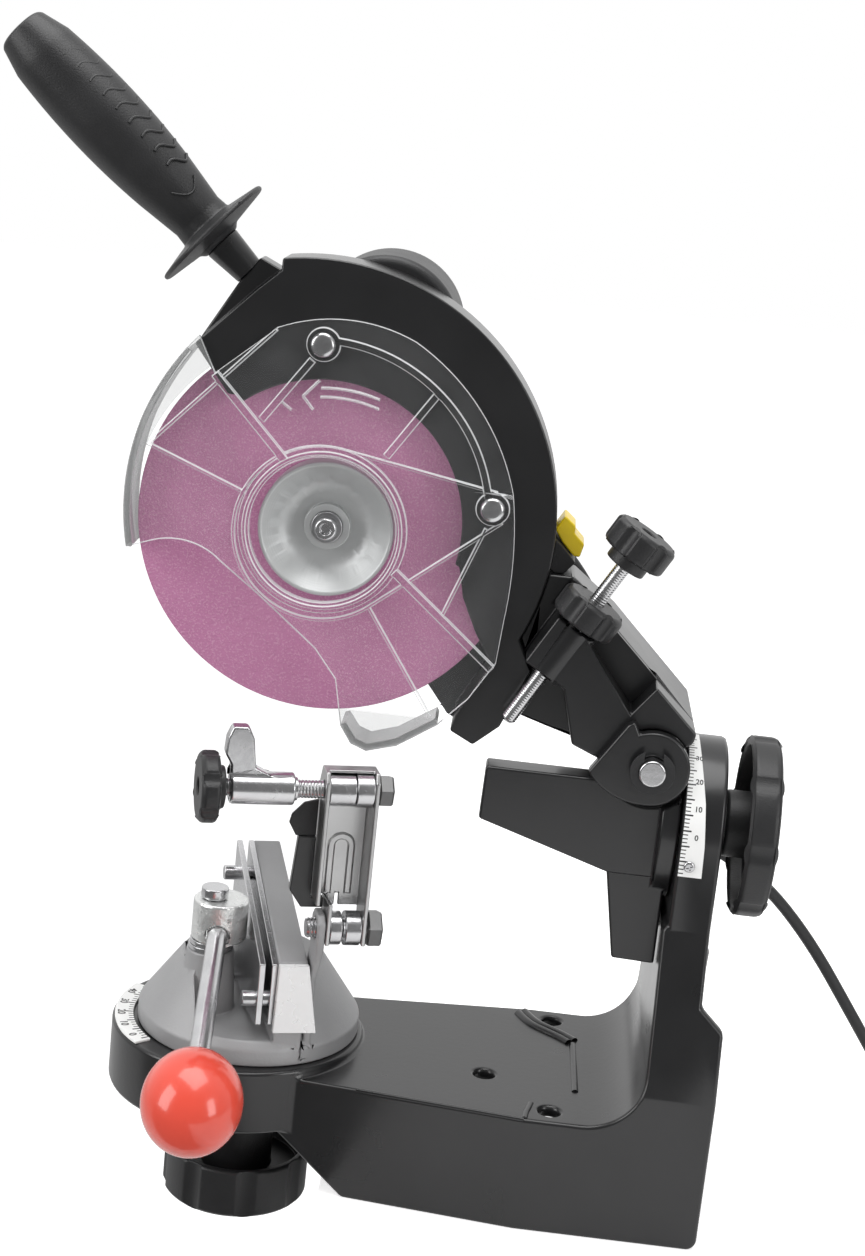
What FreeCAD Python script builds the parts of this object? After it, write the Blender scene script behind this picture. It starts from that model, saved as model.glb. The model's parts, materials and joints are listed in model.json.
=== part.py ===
import FreeCAD, Part
import math
import os
import re
import Sketcher

# Bench chain grinder: a 145 mm wheel on a tilting head, over a swivelling chain vise.
# The origin is on the bench face, midway between the two rear bench bolts.
# +X runs from the vise to the column, +Y away from the operator and +Z up.

doc = FreeCAD.newDocument("chain_grinder")
sheet = doc.addObject("Spreadsheet::Sheet", "sizes")
sizes = {}
nodes = []


def cells(**values):
    """Write named sizes into the sheet, one row each: name in column A, value in column B."""
    for name, value in values.items():
        row = len(sizes) + 1
        sheet.set(f"A{row}", name)
        sheet.set(f"B{row}", str(value))
        sheet.setAlias(f"B{row}", name)
        sizes[name] = value
    doc.recompute()


def bound(expression):
    """The expression as another object has to write it, with each size's sheet in front."""
    return re.sub(r"[a-z_][a-z_0-9]*", lambda word: f"sizes.{word.group()}"
                  if word.group() in sizes else word.group(), str(expression))


def number(expression):
    return float(sheet.evalExpression(str(expression)))


def place(item, x=0, y=0, z=0, axis="Z", turn=None):
    """Put an object at a point, with its own Z along axis, or turned about world Z.
    axis is X, Y or Z, or an angle in the XZ plane, counted up from +X."""
    turns = {"X": ((0, 1, 0), "90"), "Y": ((1, 0, 0), "-90"), "Z": ((0, 0, 1), "0")}
    direction, angle = turns.get(axis, ((0, 1, 0), f"90 - ({axis})"))
    if turn is not None:
        direction, angle = (0, 0, 1), turn
    item.Placement = FreeCAD.Placement(FreeCAD.Vector(), FreeCAD.Rotation(FreeCAD.Vector(*direction), 1))
    for part_name, expression in (("x", x), ("y", y), ("z", z)):
        item.setExpression(f"Placement.Base.{part_name}", bound(expression))
    item.setExpression("Placement.Rotation.Angle", bound(angle))
    return item


def outline(body, plane, points, name):
    """A closed sketch through the points. A point marked "via" is the middle of an arc
    between its neighbours, and every point is bound to its own two expressions."""
    sketch = body.newObject("Sketcher::SketchObject", name)
    support = next(item for item in body.Origin.OriginFeatures if item.Role == plane + "_Plane")
    sketch.AttachmentSupport = (support, [""])
    sketch.MapMode = "FlatFace"

    def pin(geometry, position, point):
        for kind, expression in zip(("DistanceX", "DistanceY"), point):
            index = sketch.addConstraint(
                Sketcher.Constraint(kind, -1, 1, geometry, position, number(expression)))
            sketch.setExpression(f"Constraints[{index}]", bound(expression))

    def spot(point):
        return FreeCAD.Vector(number(point[0]), number(point[1]), 0)

    corners = [index for index, point in enumerate(points) if len(point) == 2]
    joins = []
    for order, index in enumerate(corners):
        after = corners[(order + 1) % len(corners)]
        first, last = points[index], points[after]
        middle = points[(index + 1) % len(points)]
        if len(middle) == 3:
            left_turn = (spot(middle) - spot(first)).cross(spot(last) - spot(middle)).z > 0
            ends = (first, last) if left_turn else (last, first)
            geometry = sketch.addGeometry(Part.Arc(spot(ends[0]), spot(middle), spot(ends[1])))
            joins.append((geometry, 1, 2) if left_turn else (geometry, 2, 1))
            mark = sketch.addGeometry(Part.Point(spot(middle)), True)
            pin(mark, 1, middle)
            sketch.addConstraint(Sketcher.Constraint("PointOnObject", mark, 1, geometry))
        else:
            geometry = sketch.addGeometry(Part.LineSegment(spot(first), spot(last)))
            joins.append((geometry, 1, 2))
    for order, (geometry, start, end) in enumerate(joins):
        following, following_start, _ = joins[(order + 1) % len(joins)]
        sketch.addConstraint(Sketcher.Constraint("Coincident", geometry, end, following, following_start))
        pin(geometry, start, points[corners[order]])
    return sketch


def prism(name, plane, points, depth, **at):
    """A padded outline. On XZ it grows towards -Y, on XY towards +Z and on YZ towards +X."""
    body = doc.addObject("PartDesign::Body", name)
    pad = body.newObject("PartDesign::Pad", name + "_pad")
    pad.Profile = outline(body, plane, points, name + "_outline")
    pad.setExpression("Length", bound(depth))
    return place(body, **at)


def lathe(name, points, angle=360, **at):
    """A turned piece: the points are radius and height, and the turning axis is its own Z."""
    body = doc.addObject("PartDesign::Body", name)
    sketch = outline(body, "XZ", points, name + "_half")
    spin = body.newObject("PartDesign::Revolution", name + "_spin")
    spin.Profile = sketch
    spin.ReferenceAxis = (sketch, ["V_Axis"])
    spin.setExpression("Angle", bound(angle))
    return place(body, **at)


def rod(name, radius, length, **at):
    item = doc.addObject("Part::Cylinder", name)
    item.setExpression("Radius", bound(radius))
    item.setExpression("Height", bound(length))
    return place(item, **at)


def block(name, length, width, height, **at):
    item = doc.addObject("Part::Box", name)
    for side, expression in (("Length", length), ("Width", width), ("Height", height)):
        item.setExpression(side, bound(expression))
    return place(item, **at)


def fuse(name, *items):
    item = doc.addObject("Part::MultiFuse", name)
    item.Shapes = list(items)
    item.Refine = True
    return item


def common(name, *items):
    item = doc.addObject("Part::MultiCommon", name)
    item.Shapes = list(items)
    return item


def cut(name, base, *tools):
    """Base less its tools."""
    item = doc.addObject("Part::Cut", name)
    item.Base = base
    item.Tool = tools[0] if len(tools) == 1 else fuse(name + "_tools", *tools)
    item.Refine = True
    return item


def group(name, *items):
    """Loose pieces of one kind that share a node."""
    item = doc.addObject("Part::Compound", name)
    item.Links = list(items)
    return item


def node(item, label):
    """Take a finished object as the sub-part of that name."""
    item.Label = label
    nodes.append(item)
    return item


def knob(name, radius, rim, dish, hub_radius, hub_length, bore, lobes, bite, **at):
    """A moulded knob: dished rim, hub below it, and scallops cut round the rim."""
    body = doc.addObject("PartDesign::Body", name)
    half = [(bore, f"-({hub_length})"), (hub_radius, f"-({hub_length})"), (hub_radius, dish),
            (f"{radius} - 4", dish), (f"{radius} - 3", 0), (f"{radius} - 1", 0), (radius, 1),
            (radius, f"{rim} - 1.5"), (f"{radius} - 1.5", rim), (bore, rim)]
    sketch = outline(body, "XZ", half, name + "_half")
    spin = body.newObject("PartDesign::Revolution", name + "_spin")
    spin.Profile = sketch
    spin.ReferenceAxis = (sketch, ["V_Axis"])
    doc.recompute()
    scallop = body.newObject("Sketcher::SketchObject", name + "_scallop")
    floor = next(item for item in body.Origin.OriginFeatures if item.Role == "XY_Plane")
    scallop.AttachmentSupport = (floor, [""])
    scallop.MapMode = "FlatFace"
    reach = f"{radius} * 1.3 - ({bite})"
    ring = Part.Circle(FreeCAD.Vector(number(reach), 0, 0), FreeCAD.Vector(0, 0, 1), number(radius) * 0.3)
    scallop.addGeometry(ring)
    for kind, ends, expression in (("DistanceX", (-1, 1, 0, 3), reach), ("DistanceY", (-1, 1, 0, 3), "0"),
                                   ("Radius", (0,), f"{radius} * 0.3")):
        index = scallop.addConstraint(Sketcher.Constraint(kind, *ends, number(expression)))
        scallop.setExpression(f"Constraints[{index}]", bound(expression))
    pocket = body.newObject("PartDesign::Pocket", name + "_pocket")
    pocket.Profile = scallop
    pocket.Type = "ThroughAll"
    pocket.Midplane = True
    pattern = body.newObject("PartDesign::PolarPattern", name + "_scallops")
    pattern.Originals = [pocket]
    pattern.Axis = (scallop, ["N_Axis"])
    pattern.Angle = 360
    pattern.Occurrences = lobes
    body.Tip = pattern
    return place(body, **at)


# ---------------------------------------------------------------- driving sizes
cells(
    running_gap=0.05, wall=5, bench_hole_radius=4, bench_hole_pitch=84,
    front_hole_x=-26, front_hole_y=-16,
    # where the main axes stand
    wheel_x=-108, wheel_z=254.5, tilt_z=154.7, pivot_x=22.5, pivot_z=181.5, vise_x=-122, vise_turn=16,
    # base casting
    deck_z=46, base_left=-76, base_right=61, base_height=86, frame_tip=-116, frame_half_tip=38,
    base_half=52, web_x=34, web_top=121, column_right=52, deck_curve=22, foot_corner=4,
    head_radius=33, head_left=36, head_right=52,
    turret_x=-126, turret_radius=50, turret_bottom=24, turret_top=49.6,
    # wheel and its arbor
    wheel_radius=72.5, wheel_thick=3.2, wheel_bore=11.1, arbor_radius=6, flange_radius=25.5,
    # guard and cover
    guard_radius=93.4, guard_dx=-8, guard_dz=5.9, guard_front=-12, guard_back=10, guard_skin=3,
    lip_radius=52.5, cover_sheet=2, rib_low=1.4, rib_high=3, hub_ring_dx=-1,
    arc_rib_dx=-4.1, arc_rib_radius=64.4, boss_radius=6.2, belt_radius=32.7, belt_shift=-1.5,
    # motor
    motor_radius=42, motor_back=96, motor_skin=2.5, cap_radius=28.5, cap_dx=13, cap_dz=72.5,
    # handle
    handle_angle=139.1, handle_x=-151.5, handle_z=350, grip_radius=14.4,
    # depth stop
    rod_angle=60.2, rod_y=-17, rod_end_x=-33, rod_end_z=190.4, rod_radius=3, rod_length=86,
    # vise
    jaw_top=104,
    # chain stop, square to the vise
    stop_y=-42, screw_z=161.5, leg_bolt_z=106.5, stop_screw_radius=3.5, sleeve_radius=4.4,
)


# ---------------------------------------------------------------- base frame
# One casting: a channel under the deck that curves up into a channel column, a round
# head for the tilting joint and a round seat for the vise's turntable.
def frame_outline(inset):
    """The channel seen from the front, taken in from the deck and the column's web."""
    middle = f"0.7071 * (deck_curve + {inset})"
    return [
        (f"base_left + 2 * {inset}", f"-{inset}"), (f"base_right + {inset} - foot_corner", f"-{inset}"),
        (f"base_right + {inset} - 0.293 * foot_corner", f"0.293 * foot_corner - {inset}", "via"),
        (f"base_right + {inset}", f"foot_corner - {inset}"),
        (f"base_right + {inset}", "base_height"), ("column_right", "base_height + 8"),
        ("head_right", f"tilt_z + head_radius - 8 * {inset}"),
        (f"head_left + {inset}", f"tilt_z + head_radius - 8 * {inset}"),
        (f"head_left + {inset}", f"web_top + 1 - {inset}"), (f"web_x + {inset}", f"web_top - {inset}"),
        (f"web_x + {inset}", "deck_z + deck_curve"),
        (f"web_x - deck_curve + {middle}", f"deck_z + deck_curve - {middle}", "via"),
        ("web_x - deck_curve", f"deck_z - {inset}"),
        (f"frame_tip + 3 * {inset}", f"deck_z - {inset}"), (f"frame_tip + 2 * {inset}", "deck_z - 13"),
    ]


def front_outline(inset):
    """The channel's side walls seen along X: they lean in towards the head."""
    return [
        (f"-base_half + {inset}", -1), (f"base_half - {inset}", -1), (f"base_half - {inset}", 60),
        (f"head_radius - {inset}", "web_top"), (f"head_radius - {inset}", "tilt_z"),
        (0, f"tilt_z + head_radius - {inset}", "via"), (f"-head_radius + {inset}", "tilt_z"),
        (f"-head_radius + {inset}", "web_top"), (f"-base_half + {inset}", 60),
    ]


def plan_outline(inset):
    """The channel from above: wider towards the column."""
    return [
        ("frame_tip - 10", f"-frame_half_tip + {inset}"), (-9, f"-base_half + {inset}"),
        ("base_right + 10", f"-base_half + {inset}"), ("base_right + 10", f"base_half - {inset}"),
        (-9, f"base_half - {inset}"), ("frame_tip - 10", f"frame_half_tip - {inset}"),
    ]


def channel(name, inset):
    side = prism(name + "_side", "XZ", frame_outline(inset), "2 * base_half + 20", y="base_half + 10")
    front = prism(name + "_front", "YZ", front_outline(inset), 300, x=-200)
    plan = prism(name + "_plan", "XY", plan_outline(inset), 260, z=-20)
    return common(name, side, front, plan)


below_bench = block("below_bench", 300, 200, 30, x=-200, y=-100, z=-30)
outer = cut("channel_outer", channel("channel_solid", "0"), below_bench)
turret = rod("turret", "turret_radius", "turret_top - turret_bottom", x="turret_x", z="turret_bottom")
tilt_head = rod("tilt_head", "head_radius", "head_right - head_left", x="head_left", z="tilt_z", axis="X")
turret_hollow = rod("turret_hollow", "turret_radius - wall", "turret_top - turret_bottom - 6",
                    x="turret_x", z="turret_bottom - 1")
turret_boss = rod("turret_boss", 14, 24, x="vise_x", z="turret_bottom + 1")
swivel_bore = rod("swivel_bore", "6 + running_gap", 60, x="vise_x", z="turret_bottom - 5")
bench_holes = [rod(f"bench_hole_{side}", "bench_hole_radius", 20, x=0, y=f"{side} * bench_hole_pitch / 2",
                   z="deck_z - 12") for side in (-1, 1)]
front_hole = rod("front_hole", "bench_hole_radius", 20, x="front_hole_x", y="front_hole_y", z="deck_z - 12")
stud_bore = rod("stud_bore", "6 + running_gap", 40, x="head_left - 10", z="tilt_z", axis="X")
frame_mass = fuse("frame_mass", outer, turret)
frame_walls = cut("frame_walls", frame_mass, channel("channel_hollow", "wall"), turret_hollow)
frame_ring = fuse("frame_ring", frame_walls, tilt_head, turret_boss)
node(cut("base_frame_cut", frame_ring, swivel_bore, stud_bore, front_hole, *bench_holes), "base_frame")

# The tilt scale is a tapered plate: it wraps a quarter of the head's rim and runs on down
# its flat front. The vise scale lies on the round seat.
scale_half = [("head_radius + 0.05", 0.4), ("head_radius + 0.85", 0.4), ("head_radius + 0.85", 10),
              ("head_radius + 0.05", 10)]
scale_band = lathe("tilt_scale_band", scale_half, angle=90, x="head_left", z="tilt_z", axis="X")
scale_band.setExpression("Placement.Rotation.Angle", None)
up, near, right = FreeCAD.Vector(0, 0, 1), FreeCAD.Vector(0, -1, 0), FreeCAD.Vector(1, 0, 0)
scale_band.Placement.Rotation = FreeCAD.Rotation(up, near, right)
scale_foot = block("tilt_scale_foot", 9.6, 0.8, 12, x="head_left + 0.4", y="-head_radius - 0.85",
                   z="tilt_z - 12")
scale_taper = prism("tilt_scale_taper", "XZ", [
    ("head_left", "tilt_z - 14"), ("head_left + 9.8", "tilt_z - 14"), ("head_left + 9.4", "tilt_z"),
    ("head_left + 8", "tilt_z + 16"), ("head_left + 4.6", "tilt_z + 35"), ("head_left", "tilt_z + 35")],
                    60, y=10)
node(common("tilt_scale_shape", fuse("tilt_scale_plate", scale_band, scale_foot), scale_taper), "tilt_scale")
vise_ring = lathe("vise_ring", [(45.4, 0), (53, 0), (53, 1), (45.4, 1)], angle=64, turn=158,
                  x="vise_x", z="turret_top")
vise_ring_edge = rod("vise_ring_edge", "turret_radius - 0.4", 4, x="turret_x", z="turret_top - 1")
node(common("vise_scale_shape", vise_ring, vise_ring_edge), "vise_scale")


# ---------------------------------------------------------------- tilting bracket
# Swings about X against the column's head. It carries the pivot pin, and its nose is
# the rest that the depth rod comes down on.
flange = rod("bracket_flange", "head_radius - 2", 7, x="head_left - 7.6", z="tilt_z", axis="X")
lower_wall = prism("bracket_lower", "XZ", [
    (17, 102.5), ("web_x - 0.6", 102), ("web_x - 0.6", "tilt_z"), ("pivot_x - 12", "tilt_z"),
    (11, 137.5)], 44, y=22)
lower_hollow = prism("bracket_lower_hollow", "XZ", [
    (21, 90), (40, 90), (40, 126), (21, 126)], 36, y=18)
nose = prism("bracket_nose", "XZ", [
    (-38.8, 173.9), (-39.4, 153), (11, 137.5), (28.4, 137.5), (28.4, 170), (8, 173.9)], 11.8, y=-12.6)
rear_web = prism("bracket_rear_web", "XZ", [
    (2, 150), (11, 137.5), (28.4, 137.5), (28.4, 170), (10, 170)], 14, y=24)
lugs = [rod(f"bracket_lug_{index}", 12.5, 14, x="pivot_x", y=start, z="pivot_z", axis="Y")
        for index, start in enumerate((-24, 10))]
lug_webs = [prism(f"bracket_lug_web_{index}", "XZ", [
    ("pivot_x - 12.5", "pivot_z"), ("pivot_x - 12.5", 165), ("head_left - 6", 160), ("head_left - 2", 181),
    ("pivot_x + 12.5", "pivot_z")], 14, y=end) for index, end in enumerate((-10, 24))]
back_wall = prism("bracket_back", "XZ", [
    (21, 140), ("head_left - 4", 140), ("head_left - 4", 168), (21, 166)], 40, y=20)
pin_bore = rod("pin_bore", "5.1 + running_gap", 80, x="pivot_x", y=-40, z="pivot_z", axis="Y")
stud_seat = rod("stud_seat", 6, 40, x=4, z="tilt_z", axis="X")
cord_lug = block("cord_lug", 7, 12, 11, x=26.5, y=22, z=147)
bracket = fuse("bracket_mass", flange, cord_lug, cut("bracket_lower_wall", lower_wall, lower_hollow), nose,
               rear_web, back_wall, *lugs, *lug_webs)
ear_rooms = [rod(f"ear_room_{index}", 16.5, 8, x="pivot_x", y=y, z="pivot_z", axis="Y")
             for index, y in enumerate((-32.3, 24.3))]
spring_room = rod("spring_room", 10, 18, x="pivot_x", y=-9, z="pivot_z", axis="Y")
node(cut("bracket_cut", bracket, pin_bore, stud_seat, spring_room, *ear_rooms), "tilt_bracket")

node(rod("pin_shape", 5.1, 72, x="pivot_x", y=-36, z="pivot_z", axis="Y"), "pivot_pin")
clip = cut("clip_ring", rod("clip_outer", 8.4, 1.2, x="pivot_x", y=-34.4, z="pivot_z", axis="Y"),
           rod("clip_inner", 5.2, 4, x="pivot_x", y=-36, z="pivot_z", axis="Y"),
           block("clip_gap", 7, 6, 12, x="pivot_x - 3.5", y=-37, z="pivot_z"))
node(clip, "pin_clip")
coil_half = [(6.2, 0), (9.2, 0), (9.2, 16), (6.2, 16)]
node(lathe("spring_shape", coil_half, x="pivot_x", y=-8, z="pivot_z", axis="Y"), "return_spring")
node(rod("stud_shape", 6, 45, x=25, z="tilt_z", axis="X"), "tilt_stud")
washer_half = [(6.2, 0), (15, 0), (15, 2), (6.2, 2)]
node(lathe("tilt_washer_shape", washer_half, x="head_right + 0.1", z="tilt_z", axis="X"), "tilt_washer")
node(knob("tilt_knob_shape", 34.8, 11.6, 6.5, 13, 6.4, "6 + running_gap", 8, 0.9,
          x="head_right + 9", z="tilt_z", axis="X"), "tilt_knob")

# ---------------------------------------------------------------- guard
# A C-shaped casting over the wheel's upper right half: back plate, rim and front lip.
guard_x, guard_z = "wheel_x + guard_dx", "wheel_z + guard_dz"


def guard_part(name, radius, front, back, inset):
    """The guard's round outline between two depths, cut off along the open side."""
    disc = rod(name + "_disc", radius, f"({back}) - ({front})", x=guard_x, y=front, z=guard_z, axis="Y")
    side = prism(name + "_side", "XZ", [
        (f"-54.2 + 0.6 * ({inset})", f"63.7 - {inset}"),
        (f"-33.2 + 0.5 * ({inset})", f"85.5 - 1.2 * ({inset})"),
        (f"-24.6 + 0.4 * ({inset})", f"93.4 - 1.2 * ({inset})"), (-24, 120), (110, 120), (110, -76.9),
        (63.2, -76.9), (51.7, -71.1)], 60, x="wheel_x", y=30, z="wheel_z")
    return common(name, disc, side)


guard_corner = prism("guard_corner", "XZ", [
    (40, -56), (51.7, -71.1), (63.2, -76.9), (72.6, -68.6), (82, -46), (70, -20)],
    "guard_back - guard_front", x="wheel_x", y="guard_back", z="wheel_z")
motor_seat = rod("motor_seat", 46, "guard_skin", x="wheel_x", y="guard_back - guard_skin", z="wheel_z",
                 axis="Y")
handle_lug = prism("handle_lug", "XZ", [
    (-54.2, 63.7), (-40.6, 87.1), (-33.5, 96.5), (-25, 92.6), (-33.2, 85.5)], 12,
                   x="wheel_x", y=8, z="wheel_z")
guard_mass = fuse("guard_mass", guard_part("guard_outer", "guard_radius", "guard_front", "guard_back", "0"),
                  guard_corner, motor_seat, handle_lug)
guard_hollow = guard_part("guard_hollow", "guard_radius - guard_skin", "guard_front + 2.5",
                          "guard_back - guard_skin", "guard_skin")
lip_opening = rod("lip_opening", "lip_radius", "guard_skin + 8", x="wheel_x - 2", y="guard_front - 1",
                  z="wheel_z + 3", axis="Y")
wheel_way = prism("wheel_way", "XZ", [
    (-90, 46.3), (-37, 46.3), (-10, 10), (51, -8.7), (53.5, -20.2), (59.7, -33.3), (66.7, -44.5),
    (55.4, -66), (50, -90), (-90, -90)], "guard_back - guard_skin - guard_front + 1",
                  x="wheel_x", y="guard_back - guard_skin", z="wheel_z")
arbor_hole = rod("arbor_hole", 14.5, 20, x="wheel_x", y=0, z="wheel_z", axis="Y")
cover_spots = (("-6.6", "68.6"), ("61.1", "15"))
screw_holes = [rod(f"screw_hole_{spot}", 2, 6, x=f"wheel_x + ({x})", y="guard_front - 1", z=f"wheel_z + {z}",
                   axis="Y") for spot, (x, z) in enumerate(cover_spots)]
node(cut("guard_cut", guard_mass, guard_hollow, lip_opening, wheel_way, arbor_hole, *screw_holes),
     "guard_housing")

# ---------------------------------------------------------------- clear cover
# Moulded in clear plastic: a ribbed face over the guard's open front, with a side wall
# round the left of the wheel and round the lower corner.
cover_front = "guard_front - 0.1"
at_wheel = {"x": "wheel_x", "z": "wheel_z"}
cover_face = prism("cover_face", "XZ", [
    (-52.3, 67.2), (-45.5, 54), (-23.6, 73.1), (3, 78.4, "via"), (27, 73), (53.5, 50, "via"), (68.2, 20.9),
    (70.8, -4, "via"), (69.8, -27.7), (68.6, -43.7), (59.6, -58.8), (49.1, -70.2), (34.5, -80.1),
    (23.1, -83.5), (17, -81.2), (12.5, -74.6), (8.9, -56.8), (0.1, -45.8), (-22.8, -27.6), (-38, -16.6),
    (-51.2, -10.2, "via"), (-65.6, -11.8), (-74, -14.8), (-76, 10, "via"), (-71.7, 33.9),
    (-63.2, 52.4, "via")], "cover_sheet", y=cover_front, **at_wheel)
hub_ring = lathe("cover_hub_ring", [
    (27.4, 1), (28.6, 1), (28.6, 0), (29.8, 0), (29.8, 1.2), (31.5, 1.2), (31.5, 3.6), (27.4, 3.6)],
                 x="wheel_x + hub_ring_dx", y=f"{cover_front} - 5.2", z="wheel_z", axis="Y")
left_wall = prism("cover_left_wall", "XZ", [
    (-56.8, 61.6), (-65, 48.4, "via"), (-71.7, 33.9), (-76, 10, "via"), (-74, -14.8), (-72, -14.8),
    (-74, 10, "via"), (-69.8, 33.2), (-63.3, 47.4, "via"), (-55.1, 60.5)], 21, y=f"{cover_front} + 20",
                  **at_wheel)
corner_wall = prism("cover_corner_wall", "XZ", [
    (12.5, -74.6), (17, -81.2), (23.1, -83.5), (34.5, -80.1), (49.1, -70.2), (48, -68.4), (33.6, -78),
    (23.4, -81.3), (18.6, -79.6), (14.4, -73.9)], 20, y=f"{cover_front} + 18", **at_wheel)


def rib(name, start, end, width, height):
    """A straight rib on the cover's face between two points seen from the front."""
    run, rise = end[0] - start[0], end[1] - start[1]
    length = math.hypot(run, rise)
    return block(name, width, height, length, x=f"wheel_x + ({start[0]}) - {width / 2 * rise / length}",
                 y=f"{cover_front} - cover_sheet - {height} + 0.01",
                 z=f"wheel_z + ({start[1]}) + {width / 2 * run / length}",
                 axis=math.degrees(math.atan2(rise, run)))


def ring_rib(name, centre, radius, width, sector):
    """A round rib about a centre, kept only inside a sector's corners."""
    inner, outer = f"{radius} - {width} / 2", f"{radius} + {width} / 2"
    ring = lathe(name + "_ring", [(inner, 0), (outer, 0), (outer, "rib_low + 0.1"), (inner, "rib_low + 0.1")],
                 x=f"wheel_x + ({centre[0]})", y=f"{cover_front} - cover_sheet - rib_low",
                 z=f"wheel_z + ({centre[1]})", axis="Y")
    return common(name, ring, prism(name + "_sector", "XZ", sector, 60, y=30, **at_wheel))


THICK, DOUBLE, THIN, STROKE = 3, 2.6, 1.1, 0.7
rib_runs = (
    (THICK, number("rib_high"), ((-45.3, 53.8), (-16.8, 24.5)), ((27.1, -12.5), (67.2, -45.6))),
    (DOUBLE, number("rib_low"), ((-10.2, 62.5), (-27, 38.7)), ((36.4, 54.6), (20.1, 30.1))),
    (THIN, number("rib_low"), ((-68.4, 25.4), (-28.5, 10)), ((-68.5, 24.9), (-24.2, 72.2)),
     ((18.9, -27.2), (46, -66.9)), ((59.4, 7.4), (46.7, -26.9))),
    (STROKE, 0.6, ((-12.5, 49), (-7, 55.3)), ((-12.5, 49), (-8.4, 44.4)), ((-20.4, 46.2), (-16.4, 43.5))),
)
ribs = [rib(f"rib_{kind}_{index}", start, end, width, height)
        for kind, (width, height, *runs) in enumerate(rib_runs) for index, (start, end) in enumerate(runs)]

# The screws' bosses. A belt of thin rib runs round the hub ring and the right boss, and
# an arc joins the two bosses. The belt touches both circles along their outer tangents.
right_boss = tuple(number(value) for value in cover_spots[1])
belt_centre = (number("belt_shift"), number("belt_shift"))
belt_way = (right_boss[0] - belt_centre[0], right_boss[1] - belt_centre[1])
belt_lean = math.atan2(belt_way[1], belt_way[0])
belt_open = math.acos((number("belt_radius") - number("boss_radius")) / math.hypot(*belt_way))
belt_sides = []
for side in (1, -1):
    angle = belt_lean + side * belt_open
    touch = [(middle[0] + number(radius) * math.cos(angle), middle[1] + number(radius) * math.sin(angle))
             for middle, radius in ((belt_centre, "belt_radius"), (right_boss, "boss_radius"))]
    ribs.append(rib(f"belt_run_{side}", touch[0], touch[1], THIN, number("rib_low")))
    belt_sides.append((belt_centre[0] + 60 * math.cos(angle), belt_centre[1] + 60 * math.sin(angle)))
ribs.append(ring_rib("belt_arc", belt_centre, "belt_radius", THIN, [
    belt_centre, belt_sides[0], (-60, 60), (-60, -60), belt_sides[1]]))
ribs.append(ring_rib("boss_arc", (number("arc_rib_dx"), number("guard_dz")), "arc_rib_radius", DOUBLE, [
    (-3, 58), (-3, 90), (90, 90), (90, 20), (56, 20)]))
for stroke, radius in enumerate((49.7, 53)):
    ribs.append(ring_rib(f"arrow_stroke_{stroke}", (0, 0), radius, STROKE, [
        (-6, 40), (-6, 60), (15.6, 60), (15.6, 40)]))
bosses = [rod(f"cover_boss_{spot}", "boss_radius", 3.4, x=f"wheel_x + ({x})", y=f"{cover_front} - 3.4",
              z=f"wheel_z + {z}", axis="Y") for spot, (x, z) in enumerate(cover_spots)]
cover_mass = fuse("cover_mass", cover_face, hub_ring, left_wall, corner_wall, *ribs, *bosses)
boss_bores = [rod(f"boss_bore_{spot}", 2.3, 12, x=f"wheel_x + ({x})", y="guard_front - 8", z=f"wheel_z + {z}",
                  axis="Y") for spot, (x, z) in enumerate(cover_spots)]
hub_bore = rod("hub_bore", 27.4, 14, x="wheel_x + hub_ring_dx", y="guard_front - 8", z="wheel_z", axis="Y")
node(cut("cover_cut", cover_mass, hub_bore, *boss_bores), "clear_cover")
screws = []
for spot, (x, z) in enumerate(cover_spots):
    head = lathe(f"cover_screw_head_{spot}", [(0, 0), (3.4, 0), (4.6, 1.4), (4.6, 2.6), (0, 2.6)],
                 x=f"wheel_x + ({x})", y=f"{cover_front} - 6.1", z=f"wheel_z + {z}", axis="Y")
    shank = rod(f"cover_screw_shank_{spot}", 1.95, 8, x=f"wheel_x + ({x})", y=f"{cover_front} - 4", axis="Y",
                z=f"wheel_z + {z}")
    screws.append(fuse(f"cover_screw_{spot}", head, shank))
node(group("cover_screw_pair", *screws), "cover_screws")

# ---------------------------------------------------------------- handle
# A moulded grip with a hand stop, on a neck that bolts to the guard's lug.
def along_handle(distance):
    return {"x": f"handle_x + ({distance}) * cos(handle_angle * 1deg)",
            "z": f"handle_z + ({distance}) * sin(handle_angle * 1deg)", "axis": "handle_angle"}


neck_half = [(0, 0), (5.6, 0), (7, 14.4), (0, 14.4)]
node(lathe("neck_shape", neck_half, **along_handle(-7.6)), "handle_neck")
grip_half = [
    (0, 0.1), (7.4, 0.1), (9.4, 2), (24.3, 4), (24.3, 5.6), (10.8, 8.2), (10.3, 13), (12.6, 30),
    ("grip_radius", 58, "via"), (12.7, 93), (9.8, 103), (8.6, 104.4), (0, 104.4)]
node(lathe("grip_shape", grip_half, **along_handle(6.8)), "handle_grip")

# ---------------------------------------------------------------- motor
# Bolted to the back of the guard, with the wheel on its shaft.
motor_start = "guard_back + 0.05"
housing_half = [
    ("12", 0), ("motor_radius", 0), ("motor_radius", "motor_back - guard_back - 2"),
    ("motor_radius - motor_skin", "motor_back - guard_back - 2"), ("motor_radius - motor_skin", 4), ("12", 4)]
bearing_seat = lathe("bearing_seat", [(12.05, 3), (16, 3), (16, 10.5), (12.05, 10.5)],
                     x="wheel_x", y=motor_start, z="wheel_z", axis="Y")
node(fuse("motor_housing_fused", lathe("motor_can", housing_half, x="wheel_x", y=motor_start, z="wheel_z",
                                       axis="Y"), bearing_seat), "motor_housing")
end_half = [(0, 13), (24, 13), (36, 9), ("motor_radius", 0), ("motor_radius - 3", 0), (34, 7), (13, 9),
            (13, 3), (10.5, 3), (10.5, 10), (0, 10)]
node(lathe("motor_end_shape", end_half, x="wheel_x", y="motor_back - 1.9", z="wheel_z", axis="Y"),
     "motor_end_cover")
stator_half = [(27, 0), ("motor_radius - motor_skin - 0.05", 0), ("motor_radius - motor_skin - 0.05", 40),
               (27, 40)]
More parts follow.
